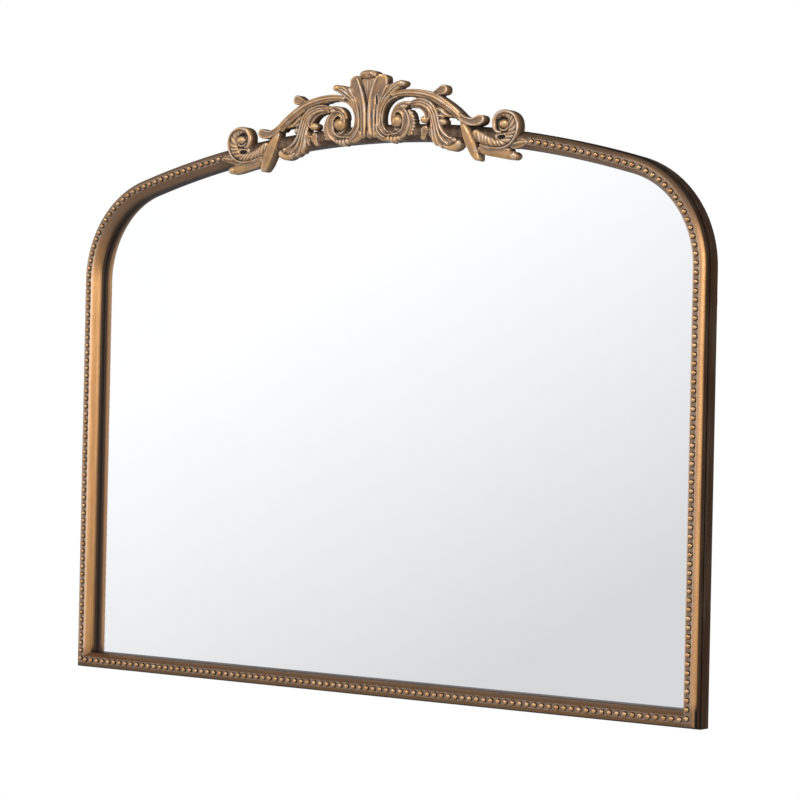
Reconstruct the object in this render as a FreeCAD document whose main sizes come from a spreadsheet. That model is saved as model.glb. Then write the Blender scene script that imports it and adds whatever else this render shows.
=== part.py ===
"""Arched wall mirror: a moulded and bead-trimmed frame with a pierced crest, glazed and backed.

Millimetres.  X runs to the viewer's right, Y runs back to the wall, which is the plane Y = 0, and Z runs up.
The origin is on the wall, midway between the two hooks that the raised hanger rings hang on.  A depth in the
rail section is measured forward from the back of the frame, and an inset is measured in from its outer edge.
"""
import FreeCAD
import Part
import math
import os

import Sketcher
from FreeCAD import Placement, Rotation, Vector

# Driving dimensions: alias, value in millimetres (or a count), meaning

SIZES = (
    ("frame_width", 914.0, "outer width of the frame"),
    ("spring_height", 500.0, "underside of the frame to the springing line"),
    ("arch_rise", 178.0, "springing line to the top of the arch"),
    ("corner_radius", 131.0, "outer radius of the shoulders"),
    ("base_wall_depth", 16.5, "plain outer wall of the rail"),
    ("upper_wall_depth", 6.5, "set-back wall above the ledge"),
    ("ledge_width", 1.0, "ledge between the two walls"),
    ("outer_slope_run", 5.5, "outer slope, across the rail"),
    ("outer_slope_drop", 6.0, "outer slope, in depth"),
    ("outer_slope_bulge", 0.9, "crown of the outer slope"),
    ("bead_flat_width", 8.0, "flat that carries the beading"),
    ("inner_slope_run", 5.9, "inner slope, across the rail"),
    ("inner_slope_bulge", 1.5, "crown of the inner slope"),
    ("lip_thickness", 3.5, "lip in front of the pane"),
    ("glass_overlap", 6.1, "pane hidden behind the lip"),
    ("rim_width", 5.0, "rim of the rail round the backing board"),
    ("glass_thickness", 4.0, "pane"),
    ("glass_clearance", 1.5, "pane to the rebate wall"),
    ("cushion_thickness", 1.0, "foam sheet behind the pane"),
    ("cushion_margin", 1.0, "foam sheet inside the edge of the pane"),
    ("board_thickness", 4.0, "backing board"),
    ("board_clearance", 0.5, "backing board to the rim"),
    ("block_length", 60.0, "setting block under the pane"),
    ("block_offset", 230.0, "setting block from the middle"),
    ("ribbon_width", 6.5, "ribbon that carries the beads"),
    ("ribbon_thickness", 0.8, "ribbon, and the groove it lies in"),
    ("ribbon_clearance", 0.1, "ribbon to each side of its groove"),
    ("ribbon_end_gap", 0.5, "ribbon to the end of its rail"),
    ("bead_radius", 3.2, "bead"),
    ("bead_sink", 0.3, "bead let into its ribbon"),
    ("bead_pitch", 9.8, "bead spacing aimed at"),
    ("spline_length", 10.0, "mitre spline across the joint"),
    ("spline_width", 8.0, "mitre spline along the joint"),
    ("spline_thickness", 3.0, "mitre spline"),
    ("spline_depth", 13.5, "middle of the spline, from the back"),
    ("spline_inset", 9.0, "middle of the spline, from each outer edge"),
    ("dowel_radius", 3.0, "dowels of the arch joints"),
    ("dowel_length", 24.0, "dowels of the arch joints"),
    ("dowel_depth", 17.0, "dowel axis, from the back"),
    ("dowel_inset", 9.5, "dowel axis, from the outer edge"),
    ("hole_clearance", 0.05, "pins, dowels and screws in their holes"),
    ("screw_radius", 1.6, "screw shanks"),
    ("screw_length", 16.0, "screw shanks under the head"),
    ("screw_head_radius", 3.0, "screw heads"),
    ("screw_head_height", 1.6, "screw heads"),
    ("screw_point_length", 3.0, "tapered point of the screws"),
    ("screw_inset", 10.0, "backing and hanger screws, from the outer edge"),
    ("pad_thickness", 6.0, "wall pads"),
    ("pad_radius", 7.0, "wall pads"),
    ("pad_inset", 10.0, "wall pads, from the outer edge"),
    ("pad_corner_offset", 60.0, "bottom wall pads, from the corner"),
    ("hanger_height", 470.0, "ring pivots above the underside"),
    ("strap_width", 8.6, "hanger strap"),
    ("strap_thickness", 0.8, "hanger strap"),
    ("strap_length", 27.0, "hanger strap below the pivot"),
    ("strap_screw_upper", 8.5, "upper strap screw below the pivot"),
    ("strap_screw_lower", 22.5, "lower strap screw below the pivot"),
    ("barrel_radius", 2.6, "rolled eye of the strap"),
    ("ring_wire_radius", 1.5, "hanger ring wire"),
    ("ring_clearance", 0.06, "ring wire in the rolled eye"),
    ("ring_half_width", 7.0, "ring, to the middle of the wire"),
    ("ring_corner_radius", 2.4, "ring corners, middle of the wire"),
    ("ring_drop", 16.2, "ring, pivot to the middle of its arc"),
    ("crest_half_width", 226.0, "crest, middle to the outer leaf tip"),
    ("crest_rise", 70.0, "crest, zero line to the top of the palmette"),
    ("crest_sink", 5.2, "zero line of the crest below the top edge of the rail"),
    ("crest_back_depth", 18.5, "back of the crest, from the back of the frame"),
    ("crest_thickness", 15.0, "crest, back to its common front"),
    ("crest_seat_gap", 0.15, "glue line of the crest on the rail"),
    ("crest_pin_radius", 1.5, "crest pins"),
    ("crest_pin_length", 16.0, "crest pins, half in the rail"),
    ("crest_pin_depth", 21.5, "crest pin axis, from the back of the frame"),
    ("overrun", 2.0, "cuts past the faces they open"),
)

# Lengths and places that follow from the driving dimensions: alias, formula

PLACES = (
    ("half_width", "Sizes.frame_width / 2"),
    ("rail_width", "Sizes.ledge_width + Sizes.outer_slope_run + Sizes.bead_flat_width"
                   " + Sizes.inner_slope_run"),
    ("rail_depth", "Sizes.base_wall_depth + Sizes.upper_wall_depth + Sizes.outer_slope_drop"),
    ("lip_back_depth", "Sizes.board_thickness + Sizes.cushion_thickness + Sizes.glass_thickness"),
    ("lip_front_depth", "lip_back_depth + Sizes.lip_thickness"),
    ("inner_slope_drop", "rail_depth - lip_front_depth"),
    ("outer_slope_radius", "(Sizes.outer_slope_run^2 + Sizes.outer_slope_drop^2)"
                           " / (8 * Sizes.outer_slope_bulge) + Sizes.outer_slope_bulge / 2"),
    ("inner_slope_radius", "(Sizes.inner_slope_run^2 + inner_slope_drop^2) / (8 * Sizes.inner_slope_bulge)"
                           " + Sizes.inner_slope_bulge / 2"),
    ("glass_inset", "rail_width - Sizes.glass_overlap"),
    ("rebate_inset", "glass_inset - Sizes.glass_clearance"),
    ("cushion_inset", "glass_inset + Sizes.cushion_margin"),
    ("board_inset", "Sizes.rim_width + Sizes.board_clearance"),
    ("flat_inset", "Sizes.ledge_width + Sizes.outer_slope_run"),
    ("bead_inset", "flat_inset + Sizes.bead_flat_width / 2"),
    ("groove_half_width", "Sizes.ribbon_width / 2 + Sizes.ribbon_clearance"),
    ("corner_centre_x", "half_width - Sizes.corner_radius"),
    ("crown_radius", "(corner_centre_x^2 + Sizes.arch_rise^2 - Sizes.corner_radius^2)"
                     " / (2 * (Sizes.arch_rise - Sizes.corner_radius))"),
    ("join_angle", "atan(corner_centre_x / (crown_radius - Sizes.arch_rise))"),
    ("pivot_z", "Sizes.ring_wire_radius - Sizes.ring_drop"),
    ("base_z", "pivot_z - Sizes.hanger_height"),
    ("spring_z", "base_z + Sizes.spring_height"),
    ("crown_centre_z", "spring_z + Sizes.arch_rise - crown_radius"),
    ("mitre_out_x", "half_width + Sizes.overrun"),
    ("mitre_in_x", "half_width - rail_width - Sizes.overrun"),
    ("mitre_low_z", "base_z - Sizes.overrun"),
    ("mitre_high_z", "base_z + rail_width + Sizes.overrun"),
    ("back_y", "-Sizes.pad_thickness"),
    ("hanger_x", "half_width - Sizes.screw_inset"),
    ("pivot_y", "back_y + Sizes.barrel_radius"),
)

# Rail section, round from the outer back edge: corner, inset formula, depth formula

SECTION = (
    ("rim_outer", "0", "0"),
    ("ledge_outer", "0", "Sizes.base_wall_depth"),
    ("ledge_inner", "Sizes.ledge_width", "Sizes.base_wall_depth"),
    ("slope_foot", "Sizes.ledge_width", "Sizes.base_wall_depth + Sizes.upper_wall_depth"),
    ("flat_outer", "Places.flat_inset", "Places.rail_depth"),
    ("groove_outer_top", "Places.bead_inset - Places.groove_half_width", "Places.rail_depth"),
    ("groove_outer_floor", "Places.bead_inset - Places.groove_half_width",
     "Places.rail_depth - Sizes.ribbon_thickness"),
    ("groove_inner_floor", "Places.bead_inset + Places.groove_half_width",
     "Places.rail_depth - Sizes.ribbon_thickness"),
    ("groove_inner_top", "Places.bead_inset + Places.groove_half_width", "Places.rail_depth"),
    ("flat_inner", "Places.flat_inset + Sizes.bead_flat_width", "Places.rail_depth"),
    ("lip_front", "Places.rail_width", "Places.lip_front_depth"),
    ("lip_back", "Places.rail_width", "Places.lip_back_depth"),
    ("rebate_top", "Places.rebate_inset", "Places.lip_back_depth"),
    ("rebate_foot", "Places.rebate_inset", "Sizes.board_thickness"),
    ("board_ledge", "Sizes.rim_width", "Sizes.board_thickness"),
    ("rim_inner", "Sizes.rim_width", "0"),
)

# Section spans that are arcs, by the corner that they start from: bulge, radius
SECTION_ARCS = {
    "slope_foot": ("outer_slope_bulge", "outer_slope_radius"),
    "flat_inner": ("inner_slope_bulge", "inner_slope_radius"),
}

# Crest strokes of the right half.  A spine point is (share of crest_half_width from the middle, share of
# crest_rise above the crest's zero line, which follows the top edge of the rail), widths are shares of
# crest_rise at those points, and a front is a share of crest_thickness.

STEM_SPINE_SHARES = ((0.265, 0.557), (0.354, 0.553), (0.420, 0.504), (0.487, 0.409), (0.553, 0.287),
                     (0.606, 0.163))
STEM_WIDTH_SHARES = (0.114, 0.114, 0.120, 0.125, 0.128, 0.128)
SCROLL_EYE_SHARES = (0.190, 0.104)
SCROLL_RADIUS_SHARES = (0.129, 0.164, 0.200, 0.229, 0.264, 0.343, 0.414)
SCROLL_WIDTH_SHARES = (0.072, 0.114)
TAIL_SPINE_SHARES = ((0.805, -0.151), (0.752, -0.133), (0.704, -0.112), (0.655, -0.047))
TAIL_WIDTH_SHARES = (0.170, 0.170, 0.170, 0.140)
VOLUTE_EYE_SHARES = (0.854, 0.153)
VOLUTE_RADIUS_SHARES = (0.114, 0.179, 0.171, 0.200, 0.271)
VOLUTE_WIDTH_SHARES = (0.060, 0.143)
BAND_FRONT_SHARE = 1.0

SPRAY_STROKE_SHARES = {
    "hook": (((0.588, 0.199), (0.642, 0.112), (0.677, 0.112)), (0.100, 0.125, 0.120), 1.08),
    "spear": (((0.606, 0.177), (0.646, -0.065), (0.670, -0.240), (0.692, -0.388), (0.706, -0.497)),
              (0.120, 0.186, 0.190, 0.130, 0.030), 1.12),
    "bud_stalk": (((0.389, 0.554), (0.429, 0.585), (0.460, 0.615)), (0.060, 0.090, 0.130), 1.06),
    "foot": (((0.673, -0.240), (0.721, -0.333), (0.796, -0.326), (0.863, -0.328), (0.907, -0.347)),
             (0.086, 0.130, 0.157, 0.157, 0.120), 1.04),
    "outer_tip": (((0.876, -0.214), (0.929, -0.199), (0.969, -0.147), (1.000, -0.078)),
                  (0.086, 0.100, 0.072, 0.022), 0.94),
    "acanthus": (((0.274, 0.430), (0.354, 0.417), (0.407, 0.344), (0.438, 0.180), (0.442, -0.004),
                  (0.451, -0.173), (0.482, -0.286), (0.527, -0.308), (0.566, -0.251)),
                 (0.086, 0.128, 0.170, 0.186, 0.172, 0.172, 0.172, 0.143, 0.128), 0.97),
    "upper_lobe": (((0.389, 0.368), (0.456, 0.300), (0.504, 0.185), (0.535, 0.095)),
                   (0.114, 0.143, 0.114, 0.060), 0.92),
    "middle_lobe": (((0.434, 0.165), (0.473, 0.119), (0.504, 0.078)), (0.114, 0.114, 0.070), 0.98),
    "berry_stalk": (((0.434, 0.122), (0.403, 0.036), (0.376, 0.036)), (0.114, 0.086, 0.072), 0.95),
    "droop": (((0.434, 0.022), (0.407, -0.070), (0.372, -0.208)), (0.114, 0.100, 0.022), 0.86),
    "side_leaf": (((0.261, 0.200), (0.296, 0.077), (0.305, -0.064), (0.292, -0.181)),
                  (0.072, 0.128, 0.128, 0.072), 0.88),
    "link": (((0.230, 0.281), (0.252, 0.370), (0.288, 0.447)), (0.086, 0.100, 0.086), 0.90),
    "clasp": (((0.128, -0.202), (0.164, -0.227), (0.199, -0.202)), (0.100, 0.114, 0.100), 1.04),
}

# Round ends and eyes of the spray: centre shares, radius share, front share
SPRAY_KNOB_SHARES = {
    "scroll_eye": (SCROLL_EYE_SHARES, 0.107, 1.25),
    "volute_eye": (VOLUTE_EYE_SHARES, 0.100, 1.25),
    "hook_end": ((0.697, 0.171), 0.088, 1.12),
    "bud_end": ((0.465, 0.623), 0.086, 1.10),
    "foot_knob": ((0.916, -0.349), 0.086, 1.12),
    "curl_end": ((0.575, -0.234), 0.072, 1.06),
    "berry": ((0.367, 0.113), 0.088, 1.16),
}

PALMETTE_STROKE_SHARES = {
    "lobe": (((0.027, -0.150), (0.040, 0.150), (0.058, 0.437), (0.077, 0.680), (0.091, 0.824)),
             (0.143, 0.200, 0.286, 0.270, 0.160), 1.18),
    "ribbed_leaf": (((0.053, -0.121), (0.066, 0.194), (0.088, 0.410), (0.124, 0.555), (0.173, 0.659),
                     (0.226, 0.723)), (0.086, 0.086, 0.143, 0.157, 0.143, 0.100), 1.06),
    "middle_leaf": (((0.088, 0.481), (0.119, 0.640), (0.146, 0.721)), (0.143, 0.143, 0.100), 1.10),
}
PALMETTE_CORE_SHARES = (((0.000, -0.164), (0.000, 0.293), (0.000, 0.821)), (0.100, 0.130, 0.380), 0.96)
PALMETTE_CAP_SHARES = (((-0.058, 0.865), (0.000, 0.914), (0.058, 0.865)), (0.114, 0.157, 0.114), 1.22)

# Places of the crest pins, as shares of crest_half_width
PALMETTE_PIN_SHARES = (-0.035, 0.035)
SPRAY_PIN_SHARES = (0.190, 0.872)

# Places of the backing screws, as shares of the run that they hold
BOTTOM_SCREW_SHARES = (-0.8, 0.0, 0.8)
STILE_SCREW_SHARES = (0.25, 0.70)
CORNER_SCREW_SHARE = 0.12
CROWN_SCREW_SHARE = 0.55

DOME_HEIGHT_SHARE = 0.5

QUARTER_TURN = 90.0
SPIRAL_STEPS = 4

doc = FreeCAD.newDocument("arched_mirror")


# The two sheets and how the model reads them

def fill_sheet(name, rows, is_formula):
    """Write one alias to a row and return the sheet."""
    sheet = doc.addObject("Spreadsheet::Sheet", name)
    for row, (alias, content, note) in enumerate(rows, start=1):
        sheet.set(f"A{row}", alias)
        sheet.set(f"B{row}", f"={content}" if is_formula else str(content))
        sheet.setAlias(f"B{row}", alias)
        sheet.set(f"C{row}", note)
    return sheet


sizes = fill_sheet("Sizes", SIZES, False)
places = fill_sheet("Places", [(alias, formula, "") for alias, formula in PLACES], True)
section = fill_sheet("Section", [(f"{corner}_{axis}", formula, "") for corner, inset, depth in SECTION
                                 for axis, formula in (("inset", inset), ("depth", depth))], True)
doc.recompute()


def number(sheet, alias):
    """One value of a sheet as a plain float."""
    content = sheet.get(alias)
    return float(getattr(content, "Value", content))


def size(alias):
    return number(sizes, alias)


def place(alias):
    return number(places, alias)


def depth_y(depth):
    """Y of a depth measured forward from the back of the frame."""
    return place("back_y") - depth


# Sketches

def plane(body, role):
    return next(feature for feature in body.Origin.OriginFeatures if feature.Role == role)


def new_sketch(body, name, role, turn=0.0, offsets=None):
    """A sketch on one of the body's planes, turned about Y and set off along that plane's own axes."""
    sketch = body.newObject("Sketcher::SketchObject", name)
    sketch.AttachmentSupport = [(plane(body, role), "")]
    sketch.MapMode = "FlatFace"
    sketch.AttachmentOffset = Placement(Vector(), Rotation(Vector(0, 1, 0), turn))
    for axis, formula in (offsets or {}).items():
        sketch.setExpression(f"AttachmentOffset.Base.{axis}", formula)
    return sketch


def tie(sketch, kind, formula, value, *where):
    """Add one dimension to a sketch and bind it to a formula."""
    index = sketch.addConstraint(Sketcher.Constraint(kind, *where, value))
    sketch.setExpression(f"Constraints[{index}]", formula)


def close_outline(sketch, spans, corners):
    """Join spans end to end and hold each corner at its two formulas.

    A span is (geometry, clockwise, radius formula or None); a corner is (x formula, x, y formula, y).
    """
    first = sketch.GeometryCount
    for geometry, _, _ in spans:
        sketch.addGeometry(geometry, False)
    for step, ((_, clockwise, radius), corner) in enumerate(zip(spans, corners)):
        start, end = (2, 1) if clockwise else (1, 2)
        following = (step + 1) % len(spans)
        next_start = 2 if spans[following][1] else 1
        sketch.addConstraint(Sketcher.Constraint("Coincident", first + step, end,
                                                 first + following, next_start))
        x_formula, x_value, y_formula, y_value = corner
        tie(sketch, "DistanceX", x_formula, x_value, -1, 1, first + step, start)
        tie(sketch, "DistanceY", y_formula, y_value, -1, 1, first + step, start)
        if radius:
            tie(sketch, "Radius", radius, spans[step][0].Circle.Radius, first + step)


def polygon(sketch, corners):
    """A closed run of straight lines through corners given as (x formula, x, y formula, y)."""
    points = [Vector(x, y, 0) for _, x, _, y in corners]
    spans = [(Part.LineSegment(here, there), False, None)
             for here, there in zip(points, points[1:] + points[:1])]
    close_outline(sketch, spans, corners)


# Rail section

def section_corner(corner):
    return number(section, f"{corner}_inset"), number(section, f"{corner}_depth")


def arc_middle(here, there, bulge):
    """Middle of an arc that bulges to the left of the way from here to there."""
    run = there - here
    left = Vector(-run.y, run.x, 0).normalize()
    return (here + there) * 0.5 + left * bulge


def section_sketch(body, name, radius_formula, radius, turn, offsets):
    """The rail section, with its outer edge at the given radius along the sketch's own X."""
    sketch = new_sketch(body, name, "XY_Plane", turn, offsets)
    corners = []
    for corner, _, _ in SECTION:
        inset, depth = section_corner(corner)
        corners.append((f"{radius_formula} - Section.{corner}_inset", radius - inset,
                        f"Places.back_y - Section.{corner}_depth", depth_y(depth)))
    points = [Vector(x, y, 0) for _, x, _, y in corners]
    spans = []
    for (corner, _, _), here, there in zip(SECTION, points, points[1:] + points[:1]):
        if corner in SECTION_ARCS:
            bulge, radius_alias = SECTION_ARCS[corner]
            curve = Part.ArcOfCircle(here, arc_middle(here, there, size(bulge)), there)
            spans.append((curve, True, f"Places.{radius_alias}"))
        else:
            spans.append((Part.LineSegment(here, there), False, None))
    close_outline(sketch, spans, corners)
    return sketch


def section_face(outer_x, lift):
    """The section as a face in the plane X = 0, grown by lift, with its outer edge at the height outer_x."""
    names = [corner for corner, _, _ in SECTION if not corner.startswith("groove")]
    points = [Vector(0, depth_y(depth), outer_x - inset) for inset, depth in map(section_corner, names)]
    edges = []
    for name, here, there in zip(names, points, points[1:] + points[:1]):
        if name in SECTION_ARCS:
            bulge = size(SECTION_ARCS[name][0])
            outward = Vector(0, there.z - here.z, here.y - there.y).normalize()
            edges.append(Part.Arc(here, (here + there) * 0.5 + outward * bulge, there).toShape())
        else:
            edges.append(Part.LineSegment(here, there).toShape())
    return Part.Face(Part.Wire(edges)).makeOffset2D(lift)


# Lines that run round the arch at an inset from its outer edge

class ArchLine:
    """The right half of the frame's outline, set in from the outer edge."""

    def __init__(self, inset):
        self.half_width = place("half_width") - inset
        self.base_z = place("base_z") + inset
        self.spring_z = place("spring_z")
        self.join = math.radians(place("join_angle"))
        self.corner_centre = Vector(place("corner_centre_x"), 0, self.spring_z)
        self.corner_radius = size("corner_radius") - inset
        self.crown_centre = Vector(0, 0, place("crown_centre_z"))
        self.crown_radius = place("crown_radius") - inset

    def on_corner(self, angle):
        """Point of the shoulder arc at an angle above the horizontal, in radians."""
        return self.corner_centre + Vector(math.cos(angle), 0, math.sin(angle)) * self.corner_radius

    def on_crown(self, angle):
        """Point of the crown arc at an angle from the vertical, in radians."""
        return self.crown_centre + Vector(math.sin(angle), 0, math.cos(angle)) * self.crown_radius

    def crown_height(self, x):
        """Height of the crown arc above a place across the frame."""
        return self.crown_centre.z + math.sqrt(self.crown_radius ** 2 - x ** 2)


def arch_sketch(body, name, inset, depth_formula):
    """The closed arched outline at an inset, on a plane at a depth from the wall."""
    sketch = new_sketch(body, name, "XZ_Plane", 0.0, {"z": depth_formula})
    line = ArchLine(place(inset))
    join = line.on_crown(line.join)
    shoulder_middle = line.on_corner((math.pi / 2 - line.join) / 2)
    half = f"(Places.half_width - Places.{inset})"
    base = f"(Places.base_z + Places.{inset})"
    shoulder = f"(Sizes.corner_radius - Places.{inset})"
    join_x = f"(Places.corner_centre_x + {shoulder} * sin(Places.join_angle))"
    join_z = f"(Places.spring_z + {shoulder} * cos(Places.join_angle))"
    corners = [
        (f"-{half}", -line.half_width, base, line.base_z),
        (half, line.half_width, base, line.base_z),
        (half, line.half_width, "Places.spring_z", line.spring_z),
        (join_x, join.x, join_z, join.z),
        (f"-{join_x}", -join.x, join_z, join.z),
        (f"-{half}", -line.half_width, "Places.spring_z", line.spring_z),
    ]
    points = [Vector(x, z, 0) for _, x, _, z in corners]
    crown_top = Vector(0, line.crown_height(0), 0)
    right_middle = Vector(shoulder_middle.x, shoulder_middle.z, 0)
    left_middle = Vector(-shoulder_middle.x, shoulder_middle.z, 0)
    crown = f"Places.crown_radius - Places.{inset}"
    spans = [
        (Part.LineSegment(points[0], points[1]), False, None),
        (Part.LineSegment(points[1], points[2]), False, None),
        (Part.ArcOfCircle(points[2], right_middle, points[3]), False, shoulder),
        (Part.ArcOfCircle(points[3], crown_top, points[4]), False, crown),
        (Part.ArcOfCircle(points[4], left_middle, points[5]), False, shoulder),
        (Part.LineSegment(points[5], points[0]), False, None),
    ]
    close_outline(sketch, spans, corners)
    return sketch


# Small builders

def new_body(name):
    return doc.addObject("PartDesign::Body", name)


def pad(body, sketch, length_formula):
    feature = body.newObject("PartDesign::Pad", f"{sketch.Name}_pad")
    feature.Profile = sketch
    feature.setExpression("Length", length_formula)
    return feature


def pocket_through(body, sketch):
    feature = body.newObject("PartDesign::Pocket", f"{sketch.Name}_pocket")
    feature.Profile = sketch
    feature.Type = "ThroughAll"
    feature.SideType = "Symmetric"
    return feature


def cylinder(name, radius, length, base, axis):
    """A Part::Cylinder along an axis, with its radius, length and base bound to formulas."""
    shape = doc.addObject("Part::Cylinder", name)
    shape.setExpression("Radius", radius)
    shape.setExpression("Height", length)
    shape.Placement = Placement(Vector(), Rotation(Vector(0, 0, 1), axis))
    for coordinate, formula in zip("xyz", base):
        shape.setExpression(f"Placement.Base.{coordinate}", formula)
    return shape


def labelled(shape, label):
    shape.Label = label
    return shape


def compound(label, members):
    group = doc.addObject("Part::Compound", f"{label}_group")
    group.Links = members
    return labelled(group, label)


def cut(label, base, tool):
    result = doc.addObject("Part::Cut", f"{label}_cut")
    result.Base = base
    result.Tool = tool
    return labelled(result, label)


def fuse(name, members):
    result = doc.addObject("Part::MultiFuse", name)
    result.Shapes = members
    return result


def mirrored(label, source):
    """The same piece on the left."""
    result = doc.addObject("Part::Mirroring", f"{label}_mirror")
    result.Source = source
    result.Normal = Vector(1, 0, 0)
    return labelled(result, label)


def feature(label, shape):
    result = doc.addObject("Part::Feature", f"{label}_feature")
    result.Shape = shape
    result.Placement = Placement()
    return labelled(result, label)


# Frame rails

def corner_formulas(*names):
    """Sketch corners from pairs of aliases of the places sheet, where a leading minus turns a place round."""
    corners = []
    for x_name, z_name in names:
        sign = -1 if x_name.startswith("-") else 1
        alias = x_name.lstrip("-")
        prefix = "-" if sign < 0 else ""
        corners.append((f"{prefix}Places.{alias}", sign * place(alias), f"Places.{z_name}", place(z_name)))
    return corners


def bottom_rail():
    body = new_body("bottom_rail_body")
    sketch = section_sketch(body, "bottom_rail_section", "0", 0.0, QUARTER_TURN,
                            {"x": "-Places.half_width", "z": "Places.base_z"})
    pad(body, sketch, "Sizes.frame_width")
    mitres = new_sketch(body, "bottom_rail_mitres", "XZ_Plane")
    for side in ("", "-"):
        polygon(mitres, corner_formulas((f"{side}mitre_out_x", "mitre_low_z"),
                                        (f"{side}mitre_out_x", "mitre_high_z"),
                                        (f"{side}mitre_in_x", "mitre_high_z")))
    pocket_through(body, mitres)
    return body


def right_stile():
    body = new_body("right_stile_body")
    sketch = section_sketch(body, "right_stile_section", "Places.half_width", place("half_width"), 0.0,
                            {"z": "Places.base_z"})
    pad(body, sketch, "Sizes.spring_height")
    mitre = new_sketch(body, "right_stile_mitre", "XZ_Plane")
    polygon(mitre, corner_formulas(("mitre_out_x", "mitre_low_z"), ("mitre_in_x", "mitre_high_z"),
                                   ("mitre_in_x", "mitre_low_z")))
    pocket_through(body, mitre)
    return body


def right_arch():
    """Shoulder and crown of the right half, each the section turned about its own centre."""
    body = new_body("right_arch_body")
    shoulder = section_sketch(body, "shoulder_section", "Sizes.corner_radius", size("corner_radius"), 0.0,
                              {"x": "Places.corner_centre_x", "z": "Places.spring_z"})
    turned_shoulder = body.newObject("PartDesign::Revolution", "shoulder")
    turned_shoulder.Profile = shoulder
    turned_shoulder.ReferenceAxis = (shoulder, ["V_Axis"])
    turned_shoulder.Reversed = True
    turned_shoulder.setExpression("Angle", f"{QUARTER_TURN} - Places.join_angle / 1deg")
    crown = section_sketch(body, "crown_section", "Places.crown_radius", place("crown_radius"), -QUARTER_TURN,
                           {"z": "Places.crown_centre_z"})
    turned_crown = body.newObject("PartDesign::Revolution", "crown")
    turned_crown.Profile = crown
    turned_crown.ReferenceAxis = (crown, ["V_Axis"])
    turned_crown.setExpression("Angle", "Places.join_angle")
    return body


# Joints between the rails

def mitre_spline(name, clearance_formula):
    """A flat spline across the right mitre, or the slot that it lies in."""
    spline = doc.addObject("Part::Box", name)
    reach = {"Length": "spline_length", "Width": "spline_thickness", "Height": "spline_width"}
    for side, alias in reach.items():
        spline.setExpression(side, f"Sizes.{alias} + 2 * {clearance_formula}")
    turn = Rotation(Vector(0, 1, 0), -QUARTER_TURN / 2)
    spline.Placement = Placement(Vector(), turn)
    along = f"((Sizes.spline_length + 2 * {clearance_formula}) / 2)"
    across = f"((Sizes.spline_width + 2 * {clearance_formula}) / 2)"
    spline.setExpression("Placement.Base.x", f"Places.half_width - Sizes.spline_inset"
                                             f" - ({along} - {across}) * cos(45deg)")
    spline.setExpression("Placement.Base.y", "Places.back_y - Sizes.spline_depth"
                                             f" - Sizes.spline_thickness / 2 - {clearance_formula}")
    spline.setExpression("Placement.Base.z", f"Places.base_z + Sizes.spline_inset"
                                             f" - ({along} + {across}) * cos(45deg)")
    return spline


def spring_dowel(name, clearance_formula):
    return cylinder(name, f"Sizes.dowel_radius + {clearance_formula}",
                    f"Sizes.dowel_length + 2 * {clearance_formula}",
                    ("Places.half_width - Sizes.dowel_inset", "Places.back_y - Sizes.dowel_depth",
                     f"Places.spring_z - Sizes.dowel_length / 2 - {clearance_formula}"), Vector(0, 0, 1))


def crown_dowel(name, clearance_formula):
    return cylinder(name, f"Sizes.dowel_radius + {clearance_formula}",
                    f"Sizes.dowel_length + 2 * {clearance_formula}",
                    (f"-Sizes.dowel_length / 2 - {clearance_formula}", "Places.back_y - Sizes.dowel_depth",
                     "Places.crown_centre_z + Places.crown_radius - Sizes.dowel_inset"), Vector(1, 0, 0))


# Screws

def backing_screw_points():
    """Where the backing screws stand: along the bottom rail, up the stiles and round the arch."""
    line = ArchLine(size("screw_inset"))
    points = [Vector(share * line.half_width, 0, line.base_z) for share in BOTTOM_SCREW_SHARES]
    right = [Vector(line.half_width, 0, line.base_z + share * (line.spring_z - line.base_z))
             for share in STILE_SCREW_SHARES]
    right.append(line.on_corner(CORNER_SCREW_SHARE * math.pi))
    right.append(line.on_crown(CROWN_SCREW_SHARE * line.join))
    return points + right + [Vector(-point.x, 0, point.z) for point in right]


def hanger_screw_points():
    heights = [place("pivot_z") - size(alias) for alias in ("strap_screw_upper", "strap_screw_lower")]
    return [Vector(side * place("hanger_x"), 0, height) for side in (-1, 1) for height in heights]


def screw_body():
    """One screw on the Y axis, its head seated on the plane Y = 0 and its point towards the front."""
    body = new_body("screw_body")
    sketch = new_sketch(body, "screw_section", "XY_Plane")
    head, shank, length = size("screw_head_radius"), size("screw_radius"), size("screw_length")
    height, point = size("screw_head_height"), size("screw_point_length")
    polygon(sketch, [
        ("0", 0.0, "Sizes.screw_head_height", height),
        ("0", 0.0, "-Sizes.screw_length", -length),
        ("Sizes.screw_radius", shank, "-(Sizes.screw_length - Sizes.screw_point_length)", point - length),
        ("Sizes.screw_radius", shank, "0", 0.0),
        ("Sizes.screw_head_radius", head, "0", 0.0),
        ("Sizes.screw_head_radius", head, "Sizes.screw_head_height / 2", height / 2),
        ("Sizes.screw_head_radius / 2", head / 2, "Sizes.screw_head_height", height),
    ])
    turned = body.newObject("PartDesign::Revolution", "screw_turned")
    turned.Profile = sketch
    turned.ReferenceAxis = (sketch, ["V_Axis"])
    return body


def screws_at(label, screw, points, seat_y):
    copies = [screw.Shape.translated(Vector(point.x, seat_y, point.z)) for point in points]
    return feature(label, Part.makeCompound(copies))


def screw_holes():
    """Round holes for every screw, from behind the hangers to just past the points."""
    radius = size("screw_radius") + size("hole_clearance")
    start = place("back_y") + size("overrun")
    length = size("screw_length") + size("hole_clearance") + size("overrun")
    holes = [Part.makeCylinder(radius, length, Vector(point.x, start, point.z), Vector(0, -1, 0))
             for point in backing_screw_points() + hanger_screw_points()]
    return feature("screw_holes", Part.makeCompound(holes))


# Glazing and back

def arched_sheet(name, inset, depth_formula, thickness):
    """A flat arched sheet whose back lies at a depth from the wall."""
    body = new_body(f"{name}_body")
    sketch = arch_sketch(body, f"{name}_outline", inset, depth_formula)
    pad(body, sketch, f"Sizes.{thickness}")
    return body


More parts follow.
